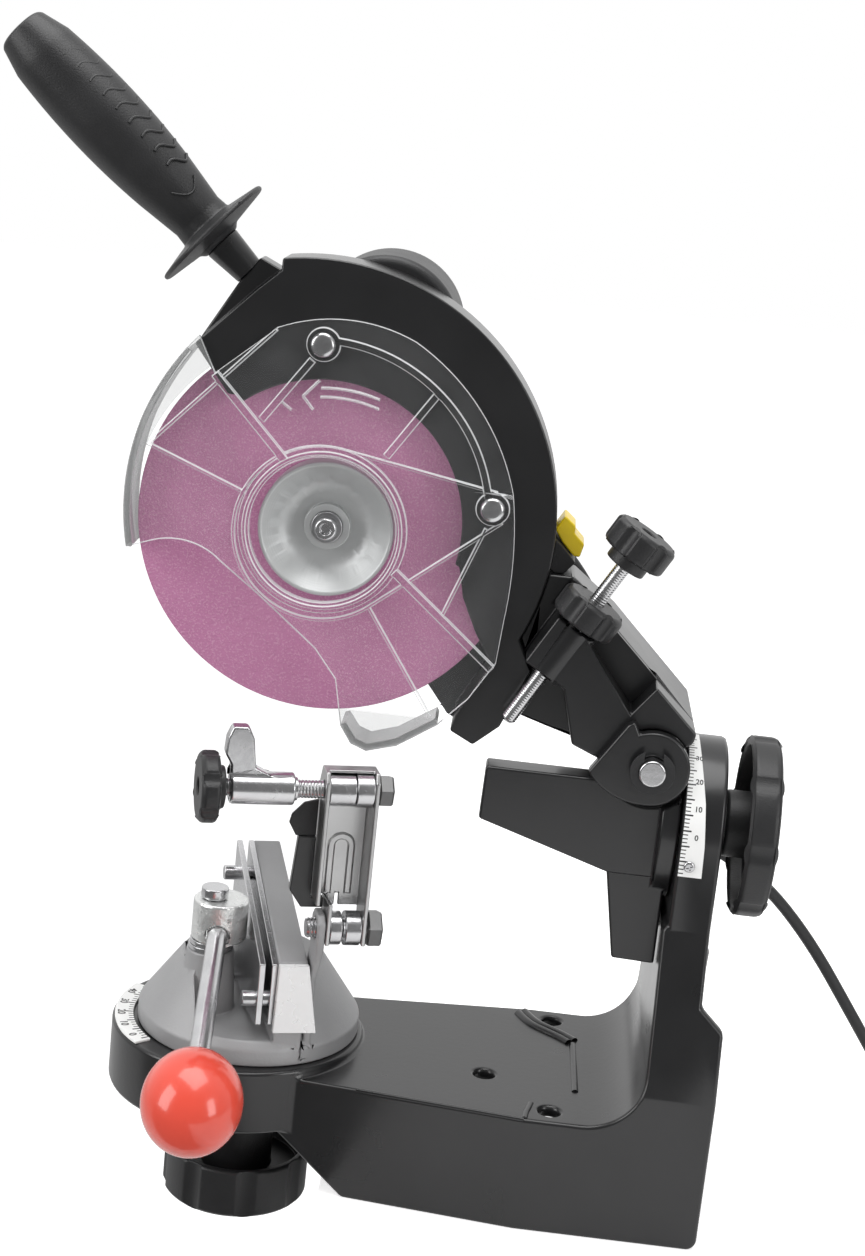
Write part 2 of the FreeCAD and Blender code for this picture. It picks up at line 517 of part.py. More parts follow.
node(lathe("stator_shape", stator_half, x="wheel_x", y=34, z="wheel_z", axis="Y"), "stator")
node(lathe("rotor_shape", [("arbor_radius", 0), (26.4, 0), (26.4, 40), ("arbor_radius", 40)],
           x="wheel_x", y=34, z="wheel_z", axis="Y"), "rotor")
node(lathe("fan_shape", [("arbor_radius", 0), (10, 0), (10, 2), (32, 4), (32, 5.2), (10, 6), (10, 9),
                         ("arbor_radius", 9)], x="wheel_x", y=79, z="wheel_z", axis="Y"), "cooling_fan")
bearings = [lathe(f"bearing_{spot}", [("arbor_radius + running_gap", 0), (outer_radius, 0), (outer_radius, 6),
                                      ("arbor_radius + running_gap", 6)], x="wheel_x", y=start, z="wheel_z",
                  axis="Y") for spot, (start, outer_radius) in enumerate(((14.1, 12), (97.2, 10.45)))]
node(group("bearing_pair", *bearings), "motor_bearings")
cap_half = [(0, 0), ("cap_radius - 2", 0), ("cap_radius", 2), ("cap_radius", 40), ("cap_radius - 3", 43),
            (0, 43)]
node(lathe("cap_shape", cap_half, x="wheel_x + cap_dx", y="guard_back + 0.05", z="wheel_z + cap_dz",
           axis="Y"), "capacitor_can")

# Wheel, flanges and the shaft they are clamped on.
node(fuse("arbor_fused", rod("arbor_rod", "arbor_radius", 112, x="wheel_x", y=-9, z="wheel_z", axis="Y"),
          lathe("arbor_collar", [("arbor_radius - 1", 0), (9, 0), (9, 4), ("arbor_radius - 1", 4)],
                x="wheel_x", y=9.6, z="wheel_z", axis="Y")), "arbor")
wheel_half = [("wheel_bore", 0), ("wheel_radius", 0), ("wheel_radius", "wheel_thick"),
              ("wheel_bore", "wheel_thick")]
node(lathe("wheel_shape", wheel_half, x="wheel_x", y="-wheel_thick / 2", z="wheel_z", axis="Y"),
     "grinding_wheel")
inner_half = [("arbor_radius", 0), ("wheel_bore - 0.05", 0), ("wheel_bore - 0.05", "wheel_thick - 0.15"),
              ("flange_radius", "wheel_thick - 0.15"), ("flange_radius", "wheel_thick + 1.6"), (11, 9),
              ("arbor_radius", 9)]
node(lathe("inner_flange_shape", inner_half, x="wheel_x", y="-wheel_thick / 2 + 0.2", z="wheel_z", axis="Y"),
     "inner_flange")
bell_half = [
    ("arbor_radius", 6.5), (8.7, 6.5), (8.7, 9.6), (12.5, 9.6), (17.3, 7.6), (24, 1), (24.8, 0.8),
    ("flange_radius", 1.8), ("flange_radius", 12.4), (21, 12.4), (16, 11.4), ("arbor_radius", 11.4)]
node(lathe("outer_flange_shape", bell_half, x="wheel_x", y="-wheel_thick / 2 - 12.5", z="wheel_z", axis="Y"),
     "outer_flange")
screw_half = [(2.1, 0), (3.6, 0), (4.4, 0.9), (4.4, 4.3), (0, 4.3), (0, 2.4), (2.1, 2.4)]
node(lathe("flange_screw_shape", screw_half, x="wheel_x", y=-13.4, z="wheel_z", axis="Y"), "flange_screw")

# ---------------------------------------------------------------- head arm
# Carries the guard and the motor. Its fork turns on the pivot pin, and a bored lug at
# its upper end guides the depth rod.
near_wall = prism("arm_near", "XZ", [
    (-18.4, 234), (-28.9, 215.7), (-13.3, 206.7), (-8, 186), (3, 181.5), (30, 186), (36.8, 191.4),
    (37.7, 195.4), (21, 211.5), (12.6, 200.5), (-10.6, 229.5)], 16.6, y=-8)
rear_wall = prism("arm_rear", "XZ", [
    (-34, 246), (-14, 246), (37.7, 195.4), (36.8, 191.4), (30, 186), (3, 181.5), (-18, 187.5), (-36, 193)],
    46, y=38)
rear_taper = prism("arm_taper", "XY", [(-60, 14), (-16, 14), (22, 60), (-60, 60)], 120, z=160)
arm_hollow = prism("arm_hollow", "XZ", [(-20, 236), (-12, 238), (28, 198), (8, 175), (-40, 175)], 27, y=20)
depth_lug = rod("depth_lug", 8.6, 21, x="rod_end_x + 24 * cos(rod_angle * 1deg)", y="rod_y",
                z="rod_end_z + 24 * sin(rod_angle * 1deg)", axis="rod_angle")
ear_points = [
    (-0.9, 178), (8, 170.3, "via"), ("pivot_x", "pivot_z - 14.2"), ("pivot_x + 14.2", "pivot_z", "via"),
    ("pivot_x - 6", "pivot_z + 12.87"), (14.2, 199), (11.7, 197.5)]
ears = [prism(f"arm_ear_{index}", "XZ", ear_points, 5.5, y=y) for index, y in enumerate((-24.9, 30.4))]
pin_room = rod("pin_room", 14, 49.7, x="pivot_x", y=-24.8, z="pivot_z", axis="Y")
ear_bores = rod("ear_bores", "5.1 + running_gap", 90, x="pivot_x", y=-45, z="pivot_z", axis="Y")
rod_bore = rod("rod_bore", "rod_radius + running_gap", 60, y="rod_y", axis="rod_angle",
               x="rod_end_x + 10 * cos(rod_angle * 1deg)", z="rod_end_z + 10 * sin(rod_angle * 1deg)")
knob_room = rod("knob_room", 14.5, 60, x="rod_end_x + 45.2 * cos(rod_angle * 1deg)", y="rod_y",
                z="rod_end_z + 45.2 * sin(rod_angle * 1deg)", axis="rod_angle")
arm_solid = cut("arm_solid", fuse("arm_mass", near_wall, cut("arm_rear_cut", rear_wall, rear_taper)),
                arm_hollow, pin_room)
arm_joined = fuse("arm_joined", arm_solid, depth_lug, *ears)
node(cut("arm_cut", arm_joined, ear_bores, rod_bore, knob_room, guard_mass), "head_arm")

# Depth stop: a threaded rod with a knob on top, and a second knob that locks it.
rod_at = {"y": "rod_y", "axis": "rod_angle"}


def along_rod(distance):
    return {"x": f"rod_end_x + ({distance}) * cos(rod_angle * 1deg)",
            "z": f"rod_end_z + ({distance}) * sin(rod_angle * 1deg)", **rod_at}


node(lathe("depth_rod_shape", [(0, 0), (2.2, 0), ("rod_radius", 0.8), ("rod_radius", "rod_length"),
                               (0, "rod_length")], **along_rod(0)), "depth_rod")
node(knob("depth_knob_shape", 12.9, 11, 2.5, 8, 4.5, "rod_radius + running_gap", 6, 1.4, **along_rod(78)), "depth_knob")
node(knob("lock_knob_shape", 12.9, 10.5, 2.5, 8, 0.8, "rod_radius + running_gap", 6, 1.4, **along_rod(46.4)),
     "depth_lock_knob")

# Power switch on top of the arm, beside the guard.
housing_points = [(-26, 250.5), (-26, 262), (-19.5, 256.5), (-14, 250.8), (-18, 246.1), (-22, 246.1)]
switch_block = prism("switch_block", "XZ", housing_points, 22, y=17)
node(cut("switch_housing_cut", switch_block, guard_mass), "switch_housing")
rocker_points = [(-23, 262), (-19.7, 267.6), (-15.3, 264), (-15.6, 261.4), (-11.4, 257.4), (-12.6, 252.3),
                 (-16.4, 252.6)]
rocker_room = prism("rocker_room", "XZ", [(x + 0.3, z + 0.3) for x, z in housing_points], 60, y=30)
rocker_block = prism("rocker_block", "XZ", rocker_points, 15, y=13.5)
node(cut("rocker_cut", rocker_block, guard_mass, rocker_room), "switch_rocker")

# ---------------------------------------------------------------- vise
# Drawn square about the swivel axis, then turned to its place on the round seat.
def on_vise(item, label):
    turned = doc.addObject("Part::Compound", label + "_on_vise")
    turned.Links = [item]
    return node(place(turned, x="vise_x", turn="vise_turn"), label)


saddle_disc = lathe("saddle_disc", [(0, 0), (44, 0), (44, 6.5), (28.5, 28.5), (0, 28.5)],
                    z="turret_top + 0.1")
cam_pocket = block("cam_pocket", 28.1, 76, 60, x=-25.5, y=-60, z=59.5)
side_pocket = block("side_pocket", 3.6, 80, 60, x=13.8, y=-60, z=61)
jaw_way = block("jaw_way", 9.6, 90, 70, x=-7, y=-45, z=62)
ridge = prism("vise_ridge", "YZ", [(-42, 52), (40, 52), (40, "jaw_top + 7"), (-42, "jaw_top - 12")], 11.2,
              x=2.6)
stop_leg = prism("stop_leg", "YZ", [
    (-40, 55), (-28, 55), (-28, 80), (-35, 97), (-35, 110), (-38, 113), (-46, 113), (-48.5, 110), (-48.5, 98),
    (-40, 84)], 3.1, x=14.8)
cam_pedestal = lathe("cam_pedestal", [(0, 0), (11, 0), (9.3, 25), (0, 25)], x=-18.8, y=-8, z=59)
cam_stud_bore = rod("cam_stud_bore", 4, 30, x=-18.8, y=-8, z=62)
leg_bore = rod("leg_bore", 4, 30, x=4, y="stop_y", z="leg_bolt_z", axis="X")
saddle_pocketed = cut("saddle_pocketed", saddle_disc, cam_pocket, side_pocket, jaw_way)
on_vise(cut("saddle_cut", fuse("saddle_mass", saddle_pocketed, ridge, stop_leg, cam_pedestal), cam_stud_bore,
            leg_bore), "turntable")
on_vise(prism("end_plate_shape", "XZ", [(2.4, 91.7), (13.9, 91.7), (18.8, 64), (1.8, 64)], 2.4, y=-42.1),
        "jaw_end_plate")
jaw_points = [(-41, 66), (-20, 62.2), (37, 62.2), (37, "jaw_top + 8"), (-41, "jaw_top - 13.3")]
pin_spots = ((-36.5, 75), (31, 100))
jaw_bores = [rod(f"jaw_bore_{index}", 3.05, 40, x=-14, y=y, z=z, axis="X")
             for index, (y, z) in enumerate(pin_spots)]
on_vise(cut("fixed_jaw_cut", prism("fixed_jaw_plate", "YZ", jaw_points, 2.3, x=0.2), *jaw_bores), "fixed_jaw")
on_vise(cut("moving_jaw_cut", prism("moving_jaw_plate", "YZ", jaw_points, 2.4, x=-4.6), *jaw_bores),
        "moving_jaw")
on_vise(group("guide_pins", *[rod(f"guide_pin_{index}", 3, 12.4, x=-9.9, y=y, z=z, axis="X")
                              for index, (y, z) in enumerate(pin_spots)]), "jaw_guide_pins")
on_vise(rod("swivel_stud_shape", 6, 69, z="turret_top - 69"), "swivel_stud")
on_vise(lathe("cam_stud_shape", [(0, 0), (3.95, 0), (3.95, 42.7), (5.3, 42.7), (5.3, 47), (0, 47)],
              x=-18.8, y=-8, z=62.1), "cam_stud")
cam_washers = [lathe(f"cam_washer_{index}", [(4.2, 0), (radius, 0), (radius, 1.9), (4.2, 1.9)], x=-18.8, y=-8,
                     z=z) for index, (radius, z) in enumerate(((8.8, 84.1), (8.4, 86.1)))]
swivel_washer = lathe("swivel_washer", [(6.3, 0), (13, 0), (13, 2.2), (6.3, 2.2)], z=21.7)
on_vise(group("vise_washer_set", *cam_washers, swivel_washer), "vise_washers")
on_vise(knob("swivel_knob_shape", 29, 20, 9, 14, 24.5, "6 + running_gap", 8, 1.3, z=-3, axis="-90"),
        "swivel_knob")

# Clamp lever: an eccentric barrel on the stud, turned by a rod with a ball on its end.
barrel_centre = FreeCAD.Vector(-16, -8, 96.3)
ball_centre = FreeCAD.Vector(-34.2, -94.2, 61)
lever_way = ball_centre - barrel_centre
lever_turn = FreeCAD.Rotation(FreeCAD.Vector(0, 0, 1), lever_way)
barrel = rod("cam_barrel_solid", 10.8, 16.4, x=barrel_centre.x, y=barrel_centre.y, z=88.1)
cam_bore = rod("cam_bore", "3.95 + running_gap", 60, x=-18.8, y=-8, z=70)
lever = doc.addObject("Part::Cylinder", "lever_shape")
lever.Radius = 3.9
lever.Height = lever_way.Length - 24.5
lever.Placement = FreeCAD.Placement(barrel_centre + lever_way.normalize() * 7, lever_turn)
ball = doc.addObject("Part::Ellipsoid", "ball_shape")
ball.Radius1 = 20.5
ball.Radius2 = ball.Radius3 = 18.4
ball.Placement = FreeCAD.Placement(ball_centre, lever_turn)
on_vise(cut("cam_barrel_cut", barrel, cam_bore, lever), "cam_barrel")
on_vise(lever, "lever_rod")
on_vise(cut("ball_bored", ball, lever), "lever_ball")

# Chain stop: a pawl on a long screw, in a bracket bolted to the vise's front block.
stop_at = {"y": "stop_y", "z": "screw_z", "axis": "X"}
leg_at = {"y": "stop_y", "z": "leg_bolt_z", "axis": "X"}
web = block("stop_web", 15.4, 1.6, 49.5, x=18.1, y=-35, z=113)
web_wide = block("stop_web_wide", 20.3, 1.6, 45, x=13.2, y=-35, z=117.5)
roof = prism("stop_roof", "YZ", [
    (-43, 169.5), (-37, 169.5), (-33.4, 162.5), (-35, 162.5), (-37.8, 168.3), (-43, 168.3)], 20.3, x=13.2)
slit = block("stop_slit", 1.4, 8, 27, x=22.8, y=-38, z=110)
bead_run = block("stop_bead_run", 10, 0.9, 19, x=18.5, y=-35.8, z=118)
bead_end = rod("stop_bead_end", 5, 0.9, x=23.5, y=-35.8, z=137, axis="Y")
bead_hollow = fuse("stop_bead_hollow", block("stop_bead_gap", 5.4, 0.8, 30, x=20.8, y=-35.8, z=107),
                   rod("stop_bead_round", 2.7, 0.8, x=23.5, y=-35.8, z=137, axis="Y"))
bead = cut("stop_bead", fuse("stop_bead_mass", bead_run, bead_end), bead_hollow)
flange_top = [(-33.4, 162.5), (-37, 169.5), (-46, 169.5), (-48.5, 166)]
flange_points = [(-48.5, 101.5), (-36, 101.5), (-33.4, 114)] + flange_top
short_points = [(-48.5, 117.5), (-33.4, 117.5)] + flange_top
flanges = [prism("stop_flange_right", "YZ", flange_points, 1.6, x=31.9),
           prism("stop_flange_left", "YZ", short_points, 1.6, x=13.2),
           prism("stop_flange_low", "YZ", flange_points[:3] + [(-33.4, 118), (-48.5, 118)], 1.6, x=18.1)]
stop_bores = [rod("stop_top_bore", 3.6, 60, x=5, **stop_at), rod("stop_low_bore", 4.1, 60, x=5, **leg_at)]
slit_web = cut("web_slit", fuse("web_full", web, web_wide), slit)
stop_channel = fuse("stop_bracket_mass", slit_web, roof, bead, *flanges)
on_vise(cut("stop_bracket_cut", stop_channel, *stop_bores), "stop_bracket")
on_vise(lathe("low_bolt_shape", [(0, 0), (3.95, 0), (3.95, 23), (7.4, 23), (7.4, 28.8), (0, 28.8)], x=11.3,
              **leg_at), "stop_bracket_bolt")
spacers = [lathe(f"stop_spacer_{index}", [(bore, 0), (radius, 0), (radius, long), (bore, long)], x=x, **line)
           for index, (bore, radius, long, x, line) in enumerate((
               (3.65, 6.2, 10, 14.9, stop_at), (3.65, 6.5, 6.6, 25.2, stop_at), (4.1, 6.4, 4.6, 19.8, leg_at),
               (4.1, 6.6, 6, 25.8, leg_at)))]
on_vise(group("stop_spacer_set", *spacers), "stop_spacers")
screw_shank = rod("stop_screw_shank", "stop_screw_radius", 62, x=-27, **stop_at)
screw_nut = rod("stop_screw_nut", 6.3, 5.6, x=33.6, **stop_at)
on_vise(fuse("stop_screw_fused", screw_shank, screw_nut), "stop_screw")
on_vise(knob("stop_knob_shape", 13.4, 7.2, 2.5, 8, 2.4, 3.5, 6, 1.2, x=-26.5, y="stop_y", z="screw_z",
             axis=180), "stop_knob")
support = prism("stop_support_shape", "XZ", [
    (4.6, 120), (9.4, 113.2), (17.8, 113.2), (17.8, 117.2), (12.9, 117.2), (12.9, 141.5), (6.2, 141.5)],
                3.2, y=-35.4)
on_vise(support, "stop_support")
leaf_points = [(5.2, 141.6), (12.9, 141.6), (12.9, 156), (7.5, 154.6), (3.2, 150), (2.4, 146.6)]
on_vise(prism("stop_leaf_shape", "XZ", leaf_points, 1.6, y=-36.2), "stop_leaf")
pawl_barrel = rod("pawl_barrel", 6.2, 24, x=-22, **stop_at)
pawl_lug = prism("pawl_lug", "XZ", [
    (-22, 161.5), (-22.4, 171), (-24.8, 175), (-24.4, 181), (-22.6, 185.5), (-16.6, 185.5), (-14.4, 181),
    (-13, 170), (-4, 165.5), (-4, 161.5)], 6, y=-39)
pawl_bore = rod("pawl_bore", "sleeve_radius + running_gap", 60, x=-40, **stop_at)
on_vise(cut("pawl_cut", fuse("pawl_mass", pawl_barrel, pawl_lug), pawl_bore), "stop_pawl")
sleeve_half = [("stop_screw_radius + running_gap", 0), ("sleeve_radius", 0), ("sleeve_radius", 25.2),
               ("stop_screw_radius + running_gap", 25.2)]
on_vise(lathe("pawl_sleeve_shape", sleeve_half, x=-22, **stop_at), "pawl_sleeve")

# ---------------------------------------------------------------- supply cord
# Straight runs joined by tangent arcs. The lead crosses from the motor to a clip on the
# bracket, and from there the cord drops to the bench.
cord_radius = 2.5


def cord_tube(label, points):
    """A round cord along the points; each arc is as large as its two runs allow."""
    spots = [FreeCAD.Vector(*point) for point in points]
    edges = []
    start = spots[0]
    radii = []
    for before, corner, after in zip(spots, spots[1:], spots[2:]):
        arriving, leaving = corner - before, after - corner
        short = min(arriving.Length, leaving.Length)
        half_turn = arriving.getAngle(leaving) / 2
        setback = 0.45 * short
        radius = setback / math.tan(half_turn)
        radii.append(round(radius, 1))
        first = corner - arriving.normalize() * setback
        last = corner + leaving.normalize() * setback
        middle = corner + (last - corner + first - corner).normalize() * (
            radius / math.cos(half_turn) - radius)
        edges += [Part.LineSegment(start, first).toShape(), Part.Arc(first, middle, last).toShape()]
        start = last
    edges.append(Part.LineSegment(start, spots[-1]).toShape())
    wire = Part.Wire(edges)
    ring = Part.Wire(Part.makeCircle(cord_radius, spots[0], spots[1] - spots[0]))
    item = doc.addObject("Part::Feature", label + "_tube")
    item.Shape = wire.makePipeShell([ring], True, False)
    ratio = item.Shape.Volume / (math.pi * cord_radius ** 2 * wire.Length)
    print(label, "length", round(wire.Length, 1), "radii", radii, "volume ratio", round(ratio, 4))
    return node(item, label)


gland_half = [(0, -6), (6, -6), (6, 2), (4.6, 5), (3.4, 20), (0, 20)]
gland_solid = lathe("gland_solid", gland_half, x="wheel_x + motor_radius", y=72, z="wheel_z", axis="X")
motor_round = rod("motor_round", "motor_radius + 0.05", 60, x="wheel_x", y=40, z="wheel_z", axis="Y")
node(cut("gland_cut", gland_solid, motor_round), "cord_gland")
cord_tube("motor_lead", [(-46, 72, 254.5), (-32, 71.5, 251), (-14, 68, 238), (2, 62, 216), (13, 55, 195),
                         (19.5, 47, 177), (23.6, 41, 162.5), (30.15, 41, 152.73)])
cord_tube("supply_cord", [(30.45, 41, 152.27), (37.6, 41, 141.7), (55, 44, 130), (80, 54, 114), (104, 60, 88),
                          (128, 60.5, 54), (148, 62.5, 25), (165, 65.5, 7.5), (184, 66, 2.6)])
clip_spot = (30.3, 41, 152.5)
strap = fuse("clip_strap", rod("clip_round", 4.6, 6, z=-3), block("clip_foot", 9.2, 5, 6, x=-4.6, y=-5, z=-3))
clip_turn = FreeCAD.Rotation(FreeCAD.Vector(0, 0, 1), FreeCAD.Vector(7, 0, -10.5))
clip_shape = cut("clip_bored", strap, rod("clip_cord_way", 2.55, 20, z=-10))
clip_holder = doc.addObject("Part::Compound", "clip_holder")
clip_holder.Links = [clip_shape]
clip_holder.Placement = FreeCAD.Placement(FreeCAD.Vector(*clip_spot), clip_turn)
node(clip_holder, "cord_clip")
coil_at = {"x": 190, "y": 98.5}
coil_ring = [(20, 0), (35, 0), (35, 15), (20, 15)]
node(lathe("coil_shape", coil_ring, **coil_at), "cord_coil")
plug_body = prism("plug_body_solid", "XY", [
    (214.9, 123), (220.1, 123), (223.5, 133), (225.5, 156), (209.5, 156), (211.5, 133)], 11, z=0)
pin_spread = 4.65
plug_pins = [rod(f"plug_pin_{side}", 2, 19, x=f"217.5 + {side} * {pin_spread}", y=155, z=5.5, axis="Y")
             for side in (-1, 1)]
node(fuse("plug_fused", plug_body, *plug_pins), "mains_plug")

# ---------------------------------------------------------------- checks and files
doc.recompute()
for item in doc.Objects:
    if {"Invalid", "Error"} & set(item.State):
        raise RuntimeError(f"{item.Name} did not build: {item.State}")
for item in nodes:
    if item.Shape.isNull() or not item.Shape.isValid() or not item.Shape.Solids:
        raise RuntimeError(f"{item.Label} has no sound solid")
os.makedirs("parts", exist_ok=True)
for item in nodes:
    item.Shape.exportStep(f"parts/{item.Label}.step")
print(len(nodes), "sub-parts written")
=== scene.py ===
import math

import bpy
from mathutils import Matrix, Vector
from mathutils.bvhtree import BVHTree
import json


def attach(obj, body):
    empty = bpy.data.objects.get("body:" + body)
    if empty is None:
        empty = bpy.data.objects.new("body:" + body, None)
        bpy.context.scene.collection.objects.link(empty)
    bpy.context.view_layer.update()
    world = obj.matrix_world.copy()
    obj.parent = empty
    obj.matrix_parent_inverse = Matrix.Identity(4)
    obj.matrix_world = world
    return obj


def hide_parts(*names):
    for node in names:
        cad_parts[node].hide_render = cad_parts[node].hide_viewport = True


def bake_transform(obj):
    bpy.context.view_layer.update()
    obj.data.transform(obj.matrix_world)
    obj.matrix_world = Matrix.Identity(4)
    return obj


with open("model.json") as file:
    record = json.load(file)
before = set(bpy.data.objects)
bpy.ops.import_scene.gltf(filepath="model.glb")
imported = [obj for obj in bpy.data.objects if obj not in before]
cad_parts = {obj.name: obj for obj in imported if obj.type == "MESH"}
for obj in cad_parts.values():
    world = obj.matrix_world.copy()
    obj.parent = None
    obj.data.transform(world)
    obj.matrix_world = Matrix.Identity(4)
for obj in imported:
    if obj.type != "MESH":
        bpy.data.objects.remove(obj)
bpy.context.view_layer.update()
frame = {"nodes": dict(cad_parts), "record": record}
MM = 0.001

# ---------------------------------------------------------------- view and light
# The camera looks a little down, rolled to one side. A pale bench carries the base, and the
# knob under the vise hangs past its left edge. The room is bright behind the object and
# overhead and dim in front, so that black enamel stays black and its upper faces shine.
BENCH_LEFT, BENCH_RIGHT = -0.085, 0.9
BENCH_FRONT, BENCH_BACK, BENCH_THICK = -0.6, 1.0, 0.04
FLOOR_DROP, FLOOR_FRONT, FLOOR_SIZE = 0.75, -0.2, 12
GROUND_GLOW, GROUND_IN_GLOSS = 0.66, 0.12
DIM, BRIGHT, FILL = 0.17, 1.0, 0.55
DIM_UNTIL, BRIGHT_FROM, OVERHEAD = -0.25, 0.75, 0.6
PITCH, YAW, ROLL = math.radians(14), math.radians(2), math.radians(6)
CAMERA_PLACE, LENS, SENSOR = (-0.03656, -0.81287, 0.42123), 63.06, 36


def only(*pieces):
    """Select these pieces and nothing else; the first one is active."""
    bpy.ops.object.select_all(action="DESELECT")
    for piece in pieces:
        piece.select_set(True)
    bpy.context.view_layer.objects.active = pieces[0]


def set_camera():
    """Turn by yaw, then pitch, then roll. The camera looks along its own -Z."""
    forward = Vector((-math.sin(YAW) * math.cos(PITCH), math.cos(YAW) * math.cos(PITCH), -math.sin(PITCH)))
    level = Vector((math.cos(YAW), math.sin(YAW), 0))
    upright = level.cross(forward)
    right = level * math.cos(ROLL) + upright * math.sin(ROLL)
    up = upright * math.cos(ROLL) - level * math.sin(ROLL)
    data = bpy.data.cameras.new("camera")
    data.lens, data.sensor_width = LENS, SENSOR
    camera = bpy.data.objects.new("camera", data)
    place = Matrix((right, up, -forward)).transposed().to_4x4()
    place.translation = CAMERA_PLACE
    camera.matrix_world = place
    bpy.context.scene.collection.objects.link(camera)
    bpy.context.scene.camera = camera


def softbox(name, place, aim, size, power):
    """A rectangular lamp at a place, turned to shine at its aim."""
    data = bpy.data.lights.new(name, "AREA")
    data.shape, data.size, data.size_y, data.energy = "RECTANGLE", size[0], size[1], power
    lamp = bpy.data.objects.new(name, data)
    lamp.location = place
    lamp.rotation_euler = (Vector(aim) - Vector(place)).to_track_quat("-Z", "Y").to_euler()
    bpy.context.scene.collection.objects.link(lamp)


class Finish:
    """A value in a material's node tree: arithmetic on it adds Math nodes, add() any other node."""

    def __init__(self, tree, socket=None):
        self.tree = tree
        self.socket = socket

    def add(self, kind, inputs=(), out=0, **settings):
        node = self.tree.nodes.new("ShaderNode" + kind)
        for name, value in settings.items():
            setattr(node, name, value)
        for name, value in dict(inputs).items():
            if isinstance(value, Finish):
                self.tree.links.new(value.socket, node.inputs[name])
            else:
                node.inputs[name].default_value = value
        return Finish(self.tree, node.outputs[out])

    def maths(self, operation, *values):
        return self.add("Math", dict(enumerate(values)), operation=operation)

    def __add__(self, other):
        return self.maths("ADD", self, other)

    def __sub__(self, other):
        return self.maths("SUBTRACT", self, other)

    def __rsub__(self, other):
        return self.maths("SUBTRACT", other, self)

    def __mul__(self, other):
        return self.maths("MULTIPLY", self, other)

    def __truediv__(self, other):
        return self.maths("DIVIDE", self, other)

    def __pow__(self, other):
        return self.maths("POWER", self, other)

    def above(self, other):
        return self.maths("GREATER_THAN", self, other)

    def below(self, other):
        return self.maths("LESS_THAN", self, other)

    def colour(self, low, high):
        """From colour low at 0 to colour high at 1."""
        return self.add("Mix", {0: self, 6: low, 7: high}, out=2, data_type="RGBA")

    def noise(self, scale, detail=3.0, at=None):
        place = at or self.add("TexCoord", out="Object")
        return self.add("TexNoise", {"Vector": place, "Scale": scale, "Detail": detail})

    def axes(self, centre):
        """X, Y and Z of the surface, counted from a centre."""
        place = self.add("TexCoord", out="Object")
        moved = self.add("VectorMath", {0: place, 1: centre}, operation="SUBTRACT")
        return [self.add("SeparateXYZ", {0: moved}, out=axis) for axis in range(3)]

    def stretched(self, x, y, z):
        """Object coordinates scaled on each axis, for brushing and streaks."""
        return self.add("Mapping", {"Vector": self.add("TexCoord", out="Object"), "Scale": (x, y, z)})

    def bump(self, height, depth):
        return self.add("Bump", {"Height": height, "Distance": depth, "Strength": 1.0})


def material(name, paint, **constants):
    """A material whose changing inputs come from paint(start) and whose constants are plain."""
    made = bpy.data.materials.new(name)
    made.use_nodes = True
    tree = made.node_tree
    shader = tree.nodes["Principled BSDF"]
    for socket, value in constants.items():
        shader.inputs[socket.replace("_", " ")].default_value = value
    for socket, value in paint(Finish(tree)).items():
        tree.links.new(value.socket, shader.inputs[socket])
    return made


def stage_material(name, colour, glow):
    """Pale matt ground: a little glow for the camera, and less in mirrors, keeps it near white."""
    made = bpy.data.materials.new(name)
    made.use_nodes = True
    tree = made.node_tree
    start = Finish(tree)
    shader = tree.nodes["Principled BSDF"]
    shader.inputs["Base Color"].default_value = colour
    shader.inputs["Roughness"].default_value = 0.9
    shader.inputs["Specular IOR Level"].default_value = 0.1
    seen = start.add("LightPath", out="Is Camera Ray")
    mirrored = start.add("LightPath", out="Is Glossy Ray")
    passed = start.add("LightPath", out="Is Transmission Ray")
    direct = seen.maths("MAXIMUM", seen, passed)
    strength = direct.maths("MAXIMUM", direct, mirrored * GROUND_IN_GLOSS) * glow
    tree.links.new(strength.socket, shader.inputs["Emission Strength"])
    shader.inputs["Emission Color"].default_value = (1, 1, 1, 1)
    return made


def set_stage():
    ground = stage_material("pale_ground", (0.8, 0.8, 0.8, 1), GROUND_GLOW)
    bpy.ops.object.select_all(action="DESELECT")
    middle = ((BENCH_LEFT + BENCH_RIGHT) / 2, (BENCH_FRONT + BENCH_BACK) / 2, -BENCH_THICK / 2)
    bpy.ops.mesh.primitive_cube_add(size=1, location=middle)
    bench = bpy.context.object
    bench.name = "bench"
    bench.scale = (BENCH_RIGHT - BENCH_LEFT, BENCH_BACK - BENCH_FRONT, BENCH_THICK)
    bpy.ops.mesh.primitive_plane_add(size=FLOOR_SIZE,
                                     location=(0, FLOOR_FRONT + FLOOR_SIZE / 2, -FLOOR_DROP))
    floor = bpy.context.object
    floor.name = "floor"
    for piece in (bench, floor):
        piece.data.materials.append(ground)


def set_room():
    """White for the camera, even fill for matt surfaces, and a bright back for glossy ones."""
    world = bpy.data.worlds.new("studio")
    world.use_nodes = True
    bpy.context.scene.world = world
    tree = world.node_tree
    start = Finish(tree)
    seen = start.add("LightPath", out="Is Camera Ray")
    mirrored = start.add("LightPath", out="Is Glossy Ray")
    passed = start.add("LightPath", out="Is Transmission Ray")
    clear = seen.maths("MINIMUM", seen + passed, 1.0)
    way = start.add("TexCoord", out="Generated")
    back = start.add("SeparateXYZ", {0: way}, out=1)
    top = start.add("SeparateXYZ", {0: way}, out=2)
    lit = start.add("MapRange", {0: back + top * OVERHEAD, 1: DIM_UNTIL, 2: BRIGHT_FROM, 3: DIM, 4: BRIGHT},
                    clamp=True)
    plain = 1.0 - clear.maths("MINIMUM", clear + mirrored, 1.0)
    strength = clear + mirrored * lit + plain * FILL
    tree.links.new(strength.socket, tree.nodes["Background"].inputs["Strength"])
    tree.nodes["Background"].inputs["Color"].default_value = (1, 1, 1, 1)


